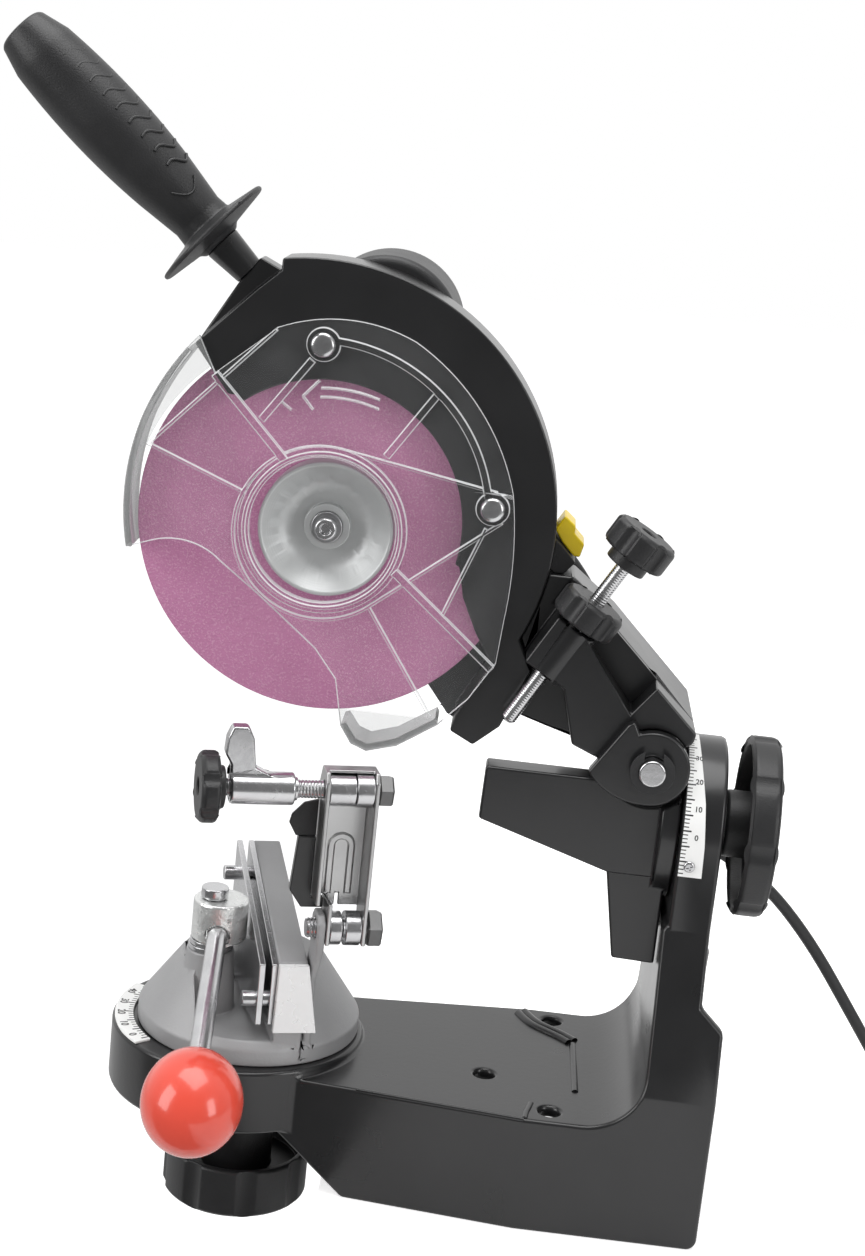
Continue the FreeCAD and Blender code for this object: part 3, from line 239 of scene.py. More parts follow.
set_camera()
set_stage()
set_room()
softbox("sky_box", place=(-0.1, -0.1, 1.5), aim=(-0.02, 0, 0.2), size=(1.3, 1.0), power=14)
softbox("left_box", place=(-1.3, -0.7, 0.7), aim=(-0.05, 0, 0.2), size=(0.7, 1.1), power=9.5)
softbox("right_box", place=(1.2, -0.9, 0.6), aim=(0, 0, 0.2), size=(0.5, 0.9), power=6)
bpy.context.scene.view_settings.view_transform = "Standard"

# ---------------------------------------------------------------- supply cord
# A 5 mm two-core lead in black rubber. It leaves the clip on the bracket and drops behind
# the column to the bench, and the rest is wound into a coil.
CORD_RADIUS = 2.5 * MM
CLIP = (0.03045, 0.041, 0.15227)
COIL_X, COIL_Y = 0.190, 0.0985
DROP = [CLIP, (0.0376, 0.041, 0.1417), (0.055, 0.044, 0.130), (0.080, 0.054, 0.114), (0.104, 0.060, 0.088),
        (0.128, 0.0605, 0.054), (0.148, 0.0625, 0.025), (0.165, 0.0655, 0.0075), (0.180, 0.066, 0.0028)]
# Each turn's radius and height in mm, from the bottom layer's outer turn to the top layer's.
TURNS = [(32.4, 2.7), (27.4, 2.6), (22.6, 2.6), (22.6, 7.4), (27.3, 7.5), (32.3, 7.6), (27.4, 12.3),
         (32.3, 12.3)]
POINTS_A_TURN = 16
STEADY, DRIFT = 0.7, 0.3    # the share of a turn that keeps its size, and the share that changes it
TAIL = [(0.2222, 0.1045, 0.0112), (0.2205, 0.1115, 0.0085), (0.2188, 0.1175, 0.0062),
        (0.2176, 0.1235, 0.0055)]


def coil_points():
    """The coil, wound anticlockwise from its near side. The last turn goes a quarter further."""
    points = []
    for index, (radius, height) in enumerate(TURNS):
        last = index == len(TURNS) - 1
        next_radius, next_height = TURNS[index if last else index + 1]
        for step in range(POINTS_A_TURN * (5 if last else 4) // 4):
            share = max(0, step / POINTS_A_TURN - STEADY) / DRIFT
            angle = math.radians(-90 + 360 * step / POINTS_A_TURN)
            wide = (radius + (next_radius - radius) * share) * MM
            tall = (height + (next_height - height) * share) * MM
            points.append((COIL_X + wide * math.cos(angle), COIL_Y + wide * math.sin(angle), tall))
    return points


def spline(name, points, radius=0.0):
    """A smooth line that has the points as its control points, or a round cord along it."""
    data = bpy.data.curves.new(name, "CURVE")
    data.dimensions = "3D"
    data.resolution_u = 6
    data.bevel_depth = radius
    data.bevel_resolution = 4
    data.use_fill_caps = True
    line = data.splines.new("NURBS")
    line.points.add(len(points) - 1)
    for point, place in zip(line.points, points):
        point.co = (*place, 1)
    line.order_u = 3
    line.use_endpoint_u = True
    piece = bpy.data.objects.new(name, data)
    bpy.context.scene.collection.objects.link(piece)
    return piece


def tube(name, points, radius):
    """A mesh tube along the smooth line, and the places that its middle follows."""
    middle = spline(name + "_middle", points)
    line = bpy.data.meshes.new_from_object(middle)
    path = [tuple(vertex.co) for vertex in line.vertices]
    bpy.data.objects.remove(middle)
    skin = spline(name + "_skin", points, radius)
    piece = bpy.data.objects.new(name, bpy.data.meshes.new_from_object(skin))
    bpy.data.objects.remove(skin)
    bpy.context.scene.collection.objects.link(piece)
    only(piece)
    bpy.ops.object.shade_smooth_by_angle(angle=math.radians(40))
    return piece, path


def rubber(start):
    grain = start.noise(900.0)
    return {"Base Color": grain.colour((0.008, 0.008, 0.009, 1), (0.02, 0.02, 0.021, 1)),
            "Roughness": grain * 0.14 + 0.34, "Normal": start.bump(grain, 0.00006)}


cord_rubber = material("cord_rubber", rubber, Specular_IOR_Level=0.5)
cord, cord_path = tube("supply_lead", DROP + coil_points() + TAIL, CORD_RADIUS)
cord.data.materials.append(cord_rubber)
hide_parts("supply_cord", "cord_coil")
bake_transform(cord)

# ---------------------------------------------------------------- base frame
# One aluminium casting in gloss black enamel: deck channel, column, round tilt head and
# round vise seat. Cast beads stiffen the deck round its rear bench hole.
DECK_TOP = 46 * MM
RIB_LINE = [(-12.5, 46.5), (-10.2, 41.5), (-6.7, 35.8), (-1.2, 31.4), (4.3, 27.1), (8.4, 22.6)]
CREASE_LINE = [(8.8, 21), (9.2, 6), (9.5, -8), (9.8, -23)]
STEP_LINE = [(-7.2, -37), (-8.0, -42), (-9.0, -46), (-9.3, -50.4)]
LIP_LINE = [(-74, -43.4), (-40, -47.6), (-9.6, -51.2)]
WELD_WITHIN, FLAT_WITHIN = 2e-5, math.radians(0.8)
slot_of = {row["node"]: row["material_slot"] for row in frame["record"]["subparts"]}
body_of = {node: body for body, nodes in frame["record"]["behaviour"]["bodies"].items() for node in nodes}


def enamel(start):
    peel = start.noise(420.0, 2.0)
    cloud = start.noise(38.0)
    return {"Base Color": cloud.colour((0.008, 0.008, 0.0085, 1), (0.017, 0.017, 0.018, 1)),
            "Roughness": cloud * 0.1 + 0.24, "Normal": start.bump(peel, 0.00003)}


def carried(piece, finish, slot, body, *nodes):
    """Give a finished piece its material and the body that carries it. slot is not used."""
    piece.data.materials.clear()
    piece.data.materials.append(finish)
    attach(piece, body)
    if nodes:
        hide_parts(*nodes)
    return piece


def smoothed(piece, angle=38):
    """Smooth shading that stays crisp where faces meet at more than the angle."""
    only(piece)
    bpy.ops.object.shade_smooth_by_angle(angle=math.radians(angle))
    evened = piece.modifiers.new("evened", "WEIGHTED_NORMAL")
    evened.keep_sharp = True
    bpy.ops.object.modifier_apply(modifier=evened.name)
    return piece


def broken_edges(piece, width, segments=2, corner=32):
    """Take the sharp corners off a piece; a point that the bevel throws off it comes back to it."""
    only(piece)
    skin = BVHTree.FromPolygons([vertex.co.copy() for vertex in piece.data.vertices],
                                [tuple(face.vertices) for face in piece.data.polygons])
    edge = piece.modifiers.new("edge", "BEVEL")
    edge.width, edge.segments = width * MM, segments
    edge.limit_method, edge.angle_limit = "ANGLE", math.radians(corner)
    edge.use_clamp_overlap = False
    edge.loop_slide = False
    bpy.ops.object.modifier_apply(modifier=edge.name)
    for vertex in piece.data.vertices:
        spot, _, _, away = skin.find_nearest(vertex.co)
        if away > width * MM:
            vertex.co = spot
    return smoothed(piece)


def merged(node):
    """A closed copy of the node's shape, with flat faces whole again."""
    piece = bpy.data.objects.new(node + "_finished", frame["nodes"][node].data.copy())
    bpy.context.scene.collection.objects.link(piece)
    only(piece)
    bpy.ops.object.mode_set(mode="EDIT")
    bpy.ops.mesh.select_all(action="SELECT")
    bpy.ops.mesh.remove_doubles(threshold=WELD_WITHIN)
    bpy.ops.mesh.dissolve_limited(angle_limit=FLAT_WITHIN)
    bpy.ops.object.mode_set(mode="OBJECT")
    return piece


def rounded(node, width, finish, segments=2, corner=32):
    """The node's shape with its sharp edges broken; the new piece stands for the node."""
    piece = broken_edges(merged(node), width, segments, corner)
    return carried(piece, finish, slot_of[node], body_of[node], node)


def bead(name, points, radius, finish, slot, body):
    """A raised line cast on a surface: a half-sunk round bead along the points."""
    piece, _ = tube(name, points, radius)
    return carried(piece, finish, slot, body)


def deck_bead(name, line, radius, sunk, aside=0):
    """A bead on the deck, its middle sunk below the top and moved aside, in mm."""
    points = [(x * MM + aside * MM, y * MM + aside * MM, DECK_TOP - sunk * MM) for x, y in line]
    bead(name, points, radius * MM, black_enamel, "black_casting", "base")


black_enamel = material("black_enamel", enamel, Coat_Weight=0.25, Coat_Roughness=0.16)
rounded("base_frame", 1.6, black_enamel)
for side in (-1, 1):
    deck_bead(f"deck_rib_{side}", RIB_LINE, radius=2.1, sunk=0.6, aside=side * 1.2)
deck_bead("deck_crease", CREASE_LINE, radius=1.5, sunk=0.6)
deck_bead("deck_step", STEP_LINE, radius=1.4, sunk=0.8)
deck_bead("deck_lip", LIP_LINE, radius=0.8, sunk=0.4)

# ---------------------------------------------------------------- scales
# White printed plates: one wraps the tilt head and is held by a small screw, the other
# lies on the round seat and counts the vise's swivel. The numbers are plain degrees.
TILT_AXIS_Z, HEAD_LEFT, HEAD_FACE = 154.7 * MM, 36.4 * MM, 33.86 * MM
VISE_X, SEAT_TOP, RING_INNER, NUMBER_RING = -122 * MM, 50.6 * MM, 45.4 * MM, 50.5 * MM
SHORT_TICK, LONG_TICK, EDGE_LINE = 2.3 * MM, 3.4 * MM, 0.4 * MM
PRINT_THICK, PRINT_SPREAD = 0.04 * MM, 0.05 * MM
# The tilt plate narrows as it rises, so its numbers move in by a little for each degree.
TILT_NUMBER_IN, MOVES_IN = 5.6, 0.022
TILT_NUMBERS = {"0": 6, "10": 24, "20": 42, "30": 60}
VISE_NUMBERS = {"40": 167, "30": 179, "20": 191, "10": 203, "0": 215}
TILT_SCREW = (40.6 * MM, -33.8 * MM, 147 * MM)
RECESS_TURN = 0.4


def every(value, step, width):
    """1 on a line of this width at each multiple of the step."""
    share = value / step + 0.5
    off = share.maths("FRACT", share) - 0.5
    return off.maths("ABSOLUTE", off).below(width / step / 2)


def graduated(centre, over, up, reach_of):
    """Printed plate: a tick every 2.5 degrees round a centre, and a long one every ten. over and up
    are the axis and sign of the angle's two sides, and reach_of counts from the plate's inner edge."""
    def paint(start):
        place = start.axes(centre)
        angle = start.maths("ARCTAN2", place[over[0]] * over[1], place[up[0]] * up[1]) * math.degrees(1)
        reach = reach_of(place)
        short = every(angle, 2.5, 0.7) * reach.below(SHORT_TICK)
        long = every(angle, 10, 1.0) * reach.below(LONG_TICK)
        rim = reach.below(EDGE_LINE)
        inked = rim.maths("MAXIMUM", rim, short.maths("MAXIMUM", short, long))
        cloud = start.noise(80.0)
        plain = cloud.colour((0.80, 0.80, 0.79, 1), (0.90, 0.90, 0.89, 1))
        return {"Base Color": inked.colour(plain, (0.015, 0.015, 0.016, 1)), "Roughness": cloud * 0.1 + 0.3}
    return paint


def numbers(name, marks, size, finish, slot, body):
    """Raised plain numbers, each with its own place and turn, joined into one piece."""
    made = []
    for value, place, turn in marks:
        bpy.ops.object.select_all(action="DESELECT")
        bpy.ops.object.text_add(location=place, rotation=turn)
        text = bpy.context.object
        text.data.body = value
        text.data.size, text.data.extrude, text.data.resolution_u = size * MM, PRINT_THICK, 3
        text.data.offset = PRINT_SPREAD
        text.data.align_x, text.data.align_y = "CENTER", "CENTER"
        bpy.ops.object.convert(target="MESH")
        made.append(bpy.context.object)
    only(*made)
    bpy.ops.object.join()
    piece = bpy.context.object
    piece.name = name
    bpy.ops.object.transform_apply(location=True, rotation=True, scale=True)
    return carried(piece, finish, slot, body)


def ink(start):
    return {"Base Color": start.noise(300.0).colour((0.008, 0.008, 0.008, 1), (0.02, 0.02, 0.02, 1)),
            "Roughness": start.noise(90.0) * 0.1 + 0.4}


def plated(start):
    streak = start.noise(300.0, at=start.stretched(1, 8, 1))
    cloud = start.noise(70.0)
    return {"Base Color": cloud.colour((0.50, 0.50, 0.51, 1), (0.74, 0.74, 0.75, 1)),
            "Roughness": streak * 0.16 + 0.16, "Normal": start.bump(streak, 0.00003)}


black_ink = material("black_ink", ink)
plated_steel = material("plated_steel", plated, Metallic=1.0)
tilt_print = material("tilt_scale_print", graduated(
    (HEAD_LEFT, 0, TILT_AXIS_Z), (2, 1), (1, -1), lambda place: place[0]))
vise_print = material("vise_scale_print", graduated(
    (VISE_X, 0, 0), (1, 1), (0, -1),
    lambda place: (place[0] * place[0] + place[1] * place[1]) ** 0.5 - RING_INNER))
rounded("tilt_scale", 0.15, tilt_print)
rounded("vise_scale", 0.2, vise_print)
tilt_marks = []
for value, degrees in TILT_NUMBERS.items():
    lean = math.radians(degrees)
    across = (TILT_NUMBER_IN - degrees * MOVES_IN) * MM
    spot = (HEAD_LEFT + across, -HEAD_FACE * math.cos(lean), TILT_AXIS_Z + HEAD_FACE * math.sin(lean))
    tilt_marks.append((value, spot, (math.pi / 2 - lean, 0, 0)))
numbers("tilt_scale_numbers", tilt_marks, 2.9, black_ink, "scale_plate", "base")
vise_marks = []
for value, degrees in VISE_NUMBERS.items():
    turn = math.radians(degrees)
    spot = (VISE_X + NUMBER_RING * math.cos(turn), NUMBER_RING * math.sin(turn), SEAT_TOP + PRINT_THICK)
    vise_marks.append((value, spot, (0, 0, turn + math.pi / 2)))
numbers("vise_scale_numbers", vise_marks, 4.4, black_ink, "scale_plate", "base")


def drum(name, rings, sides):
    """A round piece along +Z at the origin: a disc extruded ring by ring. A ring is (radius, height)."""
    bpy.ops.object.select_all(action="DESELECT")
    radius, height = rings[0]
    bpy.ops.mesh.primitive_circle_add(vertices=sides, radius=radius * MM, fill_type="NGON",
                                      location=(0, 0, height * MM))
    piece = bpy.context.object
    piece.name = name
    bpy.ops.object.transform_apply(location=True, rotation=True, scale=True)
    bpy.ops.object.mode_set(mode="EDIT")
    bpy.ops.mesh.select_mode(type="FACE")
    bpy.ops.mesh.select_all(action="SELECT")
    for wide, tall in rings[1:]:
        bpy.ops.mesh.extrude_region_move(TRANSFORM_OT_translate={"value": (0, 0, (tall - height) * MM)})
        ratio = wide / radius
        bpy.ops.transform.resize(value=(ratio, ratio, 1), center_override=(0, 0, tall * MM))
        radius, height = wide, tall
    bpy.ops.mesh.select_all(action="SELECT")
    bpy.ops.mesh.normals_make_consistent(inside=False)
    bpy.ops.object.mode_set(mode="OBJECT")
    return piece


def stood(piece, place, direction):
    """Put a piece that was made at the origin along +Z at a place, along a direction."""
    turn = Vector((0, 0, 1)).rotation_difference(Vector(direction)).to_matrix().to_4x4()
    piece.data.transform(Matrix.Translation(place) @ turn)
    return piece


def cut_out(piece, cutter):
    """Take the cutter's shape out of the piece and delete the cutter."""
    only(piece)
    hole = piece.modifiers.new("hole", "BOOLEAN")
    hole.operation, hole.solver, hole.object = "DIFFERENCE", "EXACT", cutter
    bpy.ops.object.modifier_apply(modifier=hole.name)
    bpy.data.objects.remove(cutter)
    return piece


def cross_screw(name, radius, tall, place, direction, body):
    """A pan-head screw with a cross recess; the head stands on the place it is given."""
    head = drum(name, [(radius * 0.96, 0), (radius, 0.15 * tall), (radius, 0.45 * tall),
                       (radius * 0.86, 0.8 * tall), (radius * 0.6, tall)], 28)
    for turn in (0, math.pi / 2):
        bpy.ops.object.select_all(action="DESELECT")
        bpy.ops.mesh.primitive_cube_add(size=1, location=(0, 0, tall * MM))
        bar = bpy.context.object
        bar.scale = (radius * 1.15 * MM, radius * 0.26 * MM, tall * 0.9 * MM)
        bar.rotation_euler = (0, 0, turn + RECESS_TURN)
        bpy.ops.object.transform_apply(location=True, rotation=True, scale=True)
        cut_out(head, bar)
    smoothed(stood(head, place, direction))
    return carried(head, plated_steel, "bright_steel", body)


cross_screw("tilt_scale_screw", 2.2, 1.2, TILT_SCREW, (0, -1, 0), "base")

# ---------------------------------------------------------------- tilting bracket
# A second black casting that swings on the column's head. It carries the pivot pin, with
# an open clip on its end, and the torsion spring that lifts the head.
PIVOT = (22.5 * MM, 0, 181.5 * MM)
COILS, COIL_WIDE, COIL_WIRE, SPRING_LONG = 6, 7.7, 1.25, 13.4
POINTS_A_COIL = 16


def moulded(start):
    grain = start.noise(1500.0, 2.0)
    cloud = start.noise(60.0)
    return {"Base Color": cloud.colour((0.012, 0.012, 0.013, 1), (0.024, 0.024, 0.025, 1)),
            "Roughness": cloud * 0.14 + 0.36, "Normal": start.bump(grain, 0.00009)}


def brushed(start):
    streak = start.noise(420.0, at=start.stretched(1, 1, 12))
    cloud = start.noise(60.0)
    return {"Base Color": cloud.colour((0.36, 0.36, 0.37, 1), (0.56, 0.56, 0.57, 1)),
            "Roughness": streak * 0.2 + 0.24, "Normal": start.bump(streak, 0.00005)}


moulded_black = material("moulded_black", moulded)
brushed_steel = material("brushed_steel", brushed, Metallic=1.0)
rounded("tilt_bracket", 1.0, black_enamel)
rounded("pivot_pin", 0.9, plated_steel)
rounded("pin_clip", 0.2, moulded_black)
spring_points = []
for step in range(POINTS_A_COIL * COILS + 1):
    turn = step * 2 * math.pi / POINTS_A_COIL
    along = -SPRING_LONG / 2 + step / POINTS_A_COIL * SPRING_LONG / COILS
    spring_points.append((PIVOT[0] + COIL_WIDE * MM * math.cos(turn), along * MM,
                          PIVOT[2] + COIL_WIDE * MM * math.sin(turn)))
spring, _ = tube("return_spring_wire", spring_points, COIL_WIRE * MM)
carried(spring, brushed_steel, "brushed", "tilt_bracket", "return_spring")
rounded("cord_clip", 0.5, moulded_black)

# ---------------------------------------------------------------- tilt clamp
# A stud runs through the column's head; a washer and a large moulded knob on its end
# clamp the tilt.
rounded("tilt_stud", 0.7, plated_steel)
rounded("tilt_washer", 0.3, plated_steel)
rounded("tilt_knob", 1.4, moulded_black, 3)

# ---------------------------------------------------------------- head arm and guard
# Two more black castings. The arm turns on the pivot pin and carries the guard, whose
# rim and back plate stand round the upper right of the wheel. A thin panel lies in the
# arm's open front.
ARM_PANEL = [(-7, 224.5), (12.5, 200.4), (21.5, 211.2), (2.6, 229.4)]
PANEL_FRONT, PANEL_THICK = -11, 2.9


def plate(name, outline, y, thick):
    """A flat plate from its outline in the XZ plane, from y backwards, in mm."""
    bpy.ops.object.select_all(action="DESELECT")
    bpy.ops.mesh.primitive_circle_add(vertices=len(outline), radius=MM, fill_type="NGON")
    piece = bpy.context.object
    piece.name = name
    for vertex, (x, z) in zip(piece.data.vertices, outline):
        vertex.co = (x * MM, y * MM, z * MM)
    bpy.ops.object.mode_set(mode="EDIT")
    bpy.ops.mesh.select_all(action="SELECT")
    bpy.ops.mesh.extrude_region_move(TRANSFORM_OT_translate={"value": (0, thick * MM, 0)})
    bpy.ops.mesh.select_all(action="SELECT")
    bpy.ops.mesh.normals_make_consistent(inside=False)
    bpy.ops.object.mode_set(mode="OBJECT")
    return piece


rounded("head_arm", 1.0, black_enamel)
rounded("guard_housing", 0.8, black_enamel)
panel = plate("arm_panel", ARM_PANEL, PANEL_FRONT, PANEL_THICK)
carried(broken_edges(panel, 0.4), black_enamel, "black_casting", "head")

# ---------------------------------------------------------------- handle
# A black steel neck in the guard's lug, and a moulded grip with a hand stop. A row of
# raised squiggles down the grip's upper front keeps the fingers from slipping.
HANDLE_FOOT, HANDLE_LEAN = Vector((-151.5 * MM, 0, 350 * MM)), math.radians(139.1)
HANDLE_WAY = Vector((math.cos(HANDLE_LEAN), 0, math.sin(HANDLE_LEAN)))
HANDLE_TOP = Vector((HANDLE_WAY.z, 0, -HANDLE_WAY.x))
HANDLE_FRONT = Vector((0, -1, 0))
GRIP_START, GRIP_RADIUS, GRIP_TAPER, GRIP_MIDDLE, GRIP_HALF = 6.8, 14.4, 1.8, 58, 32
RIDGES, FIRST_RIDGE, RIDGE_STEP, RIDGE_SUNK = 9, 31, 6.6, 0.15
RIDGE_SWAY, RIDGE_FROM, SWAY_STEP = (1.6, 2.4, 1.5, -0.4, -1.6, -0.8, 0.6), 30, 9
THUMB_LINE = [(24.5, 4), (21, 16), (19.4, 30), (20.5, 46), (24, 60)]


def grip_radius_at(along):
    """The grip's own radius at a distance from its foot, in mm."""
    return GRIP_RADIUS - GRIP_TAPER * ((along - GRIP_MIDDLE) / GRIP_HALF) ** 2


def on_grip(along, around):
    """A place on the grip's skin: mm along it, and degrees round from the front to the top."""
    turn = math.radians(around)
    out = HANDLE_FRONT * math.cos(turn) + HANDLE_TOP * math.sin(turn)
    middle = HANDLE_FOOT + HANDLE_WAY * (GRIP_START + along) * MM
    return middle + out * (grip_radius_at(along) - RIDGE_SUNK) * MM


rounded("handle_neck", 0.4, black_enamel)
rounded("handle_grip", 0.8, moulded_black, 3)
for ridge in range(RIDGES):
    foot = FIRST_RIDGE + ridge * RIDGE_STEP
    squiggle = [on_grip(foot + sway, RIDGE_FROM + SWAY_STEP * point)
                for point, sway in enumerate(RIDGE_SWAY)]
    bead(f"grip_ridge_{ridge}", squiggle, 0.6 * MM, moulded_black, "black_plastic", "head")
thumb_line = [on_grip(along, around) for along, around in THUMB_LINE]
bead("grip_thumb_line", thumb_line, 0.4 * MM, moulded_black, "black_plastic", "head")

# ---------------------------------------------------------------- motor
# A plain can bolted to the guard's back. The end shield has a ring of vent slots and four
# screws. The capacitor's round cover sits above it, and the lead leaves at a gland.
MOTOR_X, MOTOR_Z, SHIELD_SEAT = -108 * MM, 254.5 * MM, 103.1 * MM
VENTS, VENT_RING, VENT_SIZE = 12, 24.5 * MM, (9 * MM, 3.2 * MM, 30 * MM)
SHIELD_SCREW_RING = 36.5 * MM
MOTOR_LEAD = [(-0.046, 0.072, 0.2545), (-0.032, 0.0715, 0.251), (-0.014, 0.068, 0.238),
              (0.002, 0.062, 0.216), (0.013, 0.055, 0.195), (0.0195, 0.047, 0.177),
              (0.0236, 0.041, 0.1625), (0.03015, 0.041, 0.15273)]


def satin_casting(start):
    grain = start.noise(900.0, 2.0)
    cloud = start.noise(45.0)
    return {"Base Color": cloud.colour((0.30, 0.30, 0.305, 1), (0.40, 0.40, 0.405, 1)),
            "Roughness": cloud * 0.14 + 0.44, "Normal": start.bump(grain, 0.00008)}


def core(start):
    cloud = start.noise(200.0)
    return {"Base Color": cloud.colour((0.16, 0.10, 0.06, 1), (0.32, 0.20, 0.12, 1)),
            "Roughness": cloud * 0.2 + 0.5}


grey_casting = material("satin_casting", satin_casting, Metallic=0.3)
copper_core = material("motor_core", core, Metallic=0.4)
rounded("motor_housing", 1.2, moulded_black, 3)
rounded("capacitor_can", 1.2, moulded_black, 3)
shield = merged("motor_end_cover")
for vent in range(VENTS):
    turn = vent * 2 * math.pi / VENTS
    bpy.ops.object.select_all(action="DESELECT")
    bpy.ops.mesh.primitive_cube_add(size=1)
    cutter = bpy.context.object
    cutter.scale = VENT_SIZE
    bpy.ops.object.transform_apply(location=False, rotation=False, scale=True)
    cutter.data.transform(Matrix.Translation((MOTOR_X, SHIELD_SEAT, MOTOR_Z))
                          @ Matrix.Rotation(turn, 4, "Y") @ Matrix.Translation((VENT_RING, 0, 0))
                          @ Matrix.Rotation(math.pi / 2, 4, "X"))
    cut_out(shield, cutter)
carried(broken_edges(shield, 0.5), grey_casting, "grey_casting", "head", "motor_end_cover")
for corner in range(4):
    turn = math.radians(45 + 90 * corner)
    spot = (MOTOR_X + SHIELD_SCREW_RING * math.cos(turn), SHIELD_SEAT,
            MOTOR_Z + SHIELD_SCREW_RING * math.sin(turn))
    cross_screw(f"shield_screw_{corner}", 2.6, 1.8, spot, (0, 1, 0), "head")
for node in ("stator", "rotor"):
    rounded(node, 0.3, copper_core)
rounded("cooling_fan", 0.3, moulded_black)
rounded("motor_bearings", 0.2, brushed_steel)
rounded("cord_gland", 0.6, moulded_black)
lead, _ = tube("motor_lead_skin", MOTOR_LEAD, CORD_RADIUS)
lead.data.materials.append(cord_rubber)
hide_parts("motor_lead")
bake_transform(lead)

# ---------------------------------------------------------------- switch
# A black switch body let into the arm beside the guard, with a glossy yellow rocker that
# turns the motor on and off.
def yellow(start):
    cloud = start.noise(40.0)
    return {"Base Color": cloud.colour((0.80, 0.56, 0.008, 1), (0.88, 0.66, 0.015, 1)),
            "Roughness": cloud * 0.08 + 0.24, "Normal": start.bump(start.noise(500.0, 2.0), 0.00004)}


rounded("switch_housing", 0.5, moulded_black)
rounded("switch_rocker", 0.7, material("yellow_gloss", yellow))

# ---------------------------------------------------------------- wheel set
# A pink vitrified wheel between a flat inner flange and a dished outer one, clamped on
# the motor's shaft by one screw.
def abrasive(start):
    grit = start.noise(1400.0, 4.0)
    spots = start.add("TexVoronoi", {"Vector": start.add("TexCoord", out="Object"), "Scale": 900.0})
    cloud = start.noise(28.0)
    pink = cloud.colour((0.44, 0.17, 0.31, 1), (0.56, 0.25, 0.41, 1))
    speck = (grit - 0.5).above(0.08) * 0.5
    return {"Base Color": speck.colour(pink, (0.64, 0.38, 0.51, 1)), "Roughness": cloud * 0.1 + 0.82,
            "Normal": start.bump(grit + spots * 0.6, 0.0004)}


def turned_steel(start):
    place = start.axes((MOTOR_X, 0, MOTOR_Z))
    radius = (place[0] * place[0] + place[2] * place[2]) ** 0.5
    rings = start.noise(1.0, 4.0, at=start.add("CombineXYZ", {0: radius * 2600.0}))
    cloud = start.noise(60.0)
    return {"Base Color": cloud.colour((0.46, 0.47, 0.47, 1), (0.60, 0.61, 0.61, 1)),
            "Roughness": rings * 0.14 + 0.38, "Normal": start.bump(rings, 0.00005)}


turned = material("turned_steel", turned_steel, Metallic=0.6)
rounded("grinding_wheel", 0.3, material("pink_abrasive", abrasive, Specular_IOR_Level=0.25))
rounded("inner_flange", 0.3, turned)
rounded("outer_flange", 0.35, turned, 2, 25)
rounded("arbor", 0.5, brushed_steel)
rounded("flange_screw", 0.35, plated_steel)

# ---------------------------------------------------------------- clear cover
# Clear moulded plastic over the guard's open front. Its flat sheet is nearly invisible; its ribs, rings
# and edges are painted whiter and more opaque, a painted highlight for the light they catch. Two screws
# hold it.
PAST_WHEEL, LEFT_WALL, LOWER_WALL = 73.2 * MM, -30 * MM, -68 * MM
COVER_SCREWS, COVER_FRONT = [(-114.6, 323.1), (-46.9, 269.5)], -18.1


def clear_sheet(start):
    normal = start.add("TexCoord", out="Normal")
    facing = start.add("SeparateXYZ", {0: normal}, out=1)
    # Painted highlight: where the sheet turns from the front it grows whiter and more opaque, standing in
    # for the light its edges catch.
    edge = 1.0 - facing.maths("ABSOLUTE", facing) ** 8
    place = start.axes((MOTOR_X, 0, MOTOR_Z))
    radius = (place[0] * place[0] + place[2] * place[2]) ** 0.5
    past = radius.above(PAST_WHEEL) * place[0].below(LEFT_WALL)
    walls = past.maths("MAXIMUM", past, place[2].below(LOWER_WALL))
    haze = start.noise(55.0)
    # The whitish colour here shows mostly at the edges, where it is a painted highlight.
    edge_glint_white = haze.colour((0.80, 0.81, 0.82, 1), (0.92, 0.93, 0.94, 1))
    return {"Base Color": walls.colour(edge_glint_white, (0.50, 0.51, 0.51, 1)), "Roughness": haze * 0.05 + 0.04,
            "Alpha": edge * 0.72 + walls * 0.2 + haze * 0.02 + 0.012}


clear_plastic = material("clear_plastic", clear_sheet, IOR=1.49)
rounded("clear_cover", 0.34, clear_plastic, 2, 42)
for number, (x, z) in enumerate(COVER_SCREWS):
    spot = (x * MM, COVER_FRONT * MM, z * MM)
    cross_screw(f"cover_screw_cap_{number}", 4.0, 1.0, spot, (0, -1, 0), "head")
rounded("cover_screws", 0.4, plated_steel)

# ---------------------------------------------------------------- depth stop
# A threaded rod through the arm's lug: its knob sets how deep the wheel cuts, and a
# second knob on the same thread locks it.
ROD_LEAN = math.radians(60.2)
ROD_WAY = Vector((math.cos(ROD_LEAN), 0, math.sin(ROD_LEAN)))
ROD_END = Vector((-33 * MM, -17 * MM, 190.4 * MM))


def thread(radius, depth, pitch, start, length):
    """The rings of a threaded stretch: one crest and one root in each pitch, in mm."""
    rings = []
    for turn in range(int(length / pitch)):
        foot = start + turn * pitch
        rings += [(radius - depth, foot + 0.1 * pitch), (radius, foot + 0.45 * pitch),
                  (radius, foot + 0.55 * pitch), (radius - depth, foot + 0.9 * pitch)]
    return rings


rod_rings = [(1.8, 0), (2.4, 0.6)] + thread(radius=3.0, depth=0.14, pitch=1.0, start=1.0, length=84)
depth_screw = drum("depth_rod_thread", rod_rings, 24)
smoothed(stood(depth_screw, ROD_END, ROD_WAY), 50)
carried(depth_screw, plated_steel, "bright_steel", "depth_stop", "depth_rod")
for node in ("depth_knob", "depth_lock_knob"):
    rounded(node, 0.7, moulded_black, 3)

# ---------------------------------------------------------------- vise
# A satin grey casting that swivels on the round seat. Two steel jaws hold the chain's
# links; the loose one slides on two pins. A bright plate closes the front of the ridge.
VISE_TURN = math.radians(16)
VISE_PLACE = Matrix.Translation((VISE_X, 0, 0)) @ Matrix.Rotation(VISE_TURN, 4, "Z")


def on_vise(x, y, z):
    """A place in the vise's own square frame, in mm, as a place in the world."""
    return VISE_PLACE @ Vector((x * MM, y * MM, z * MM))


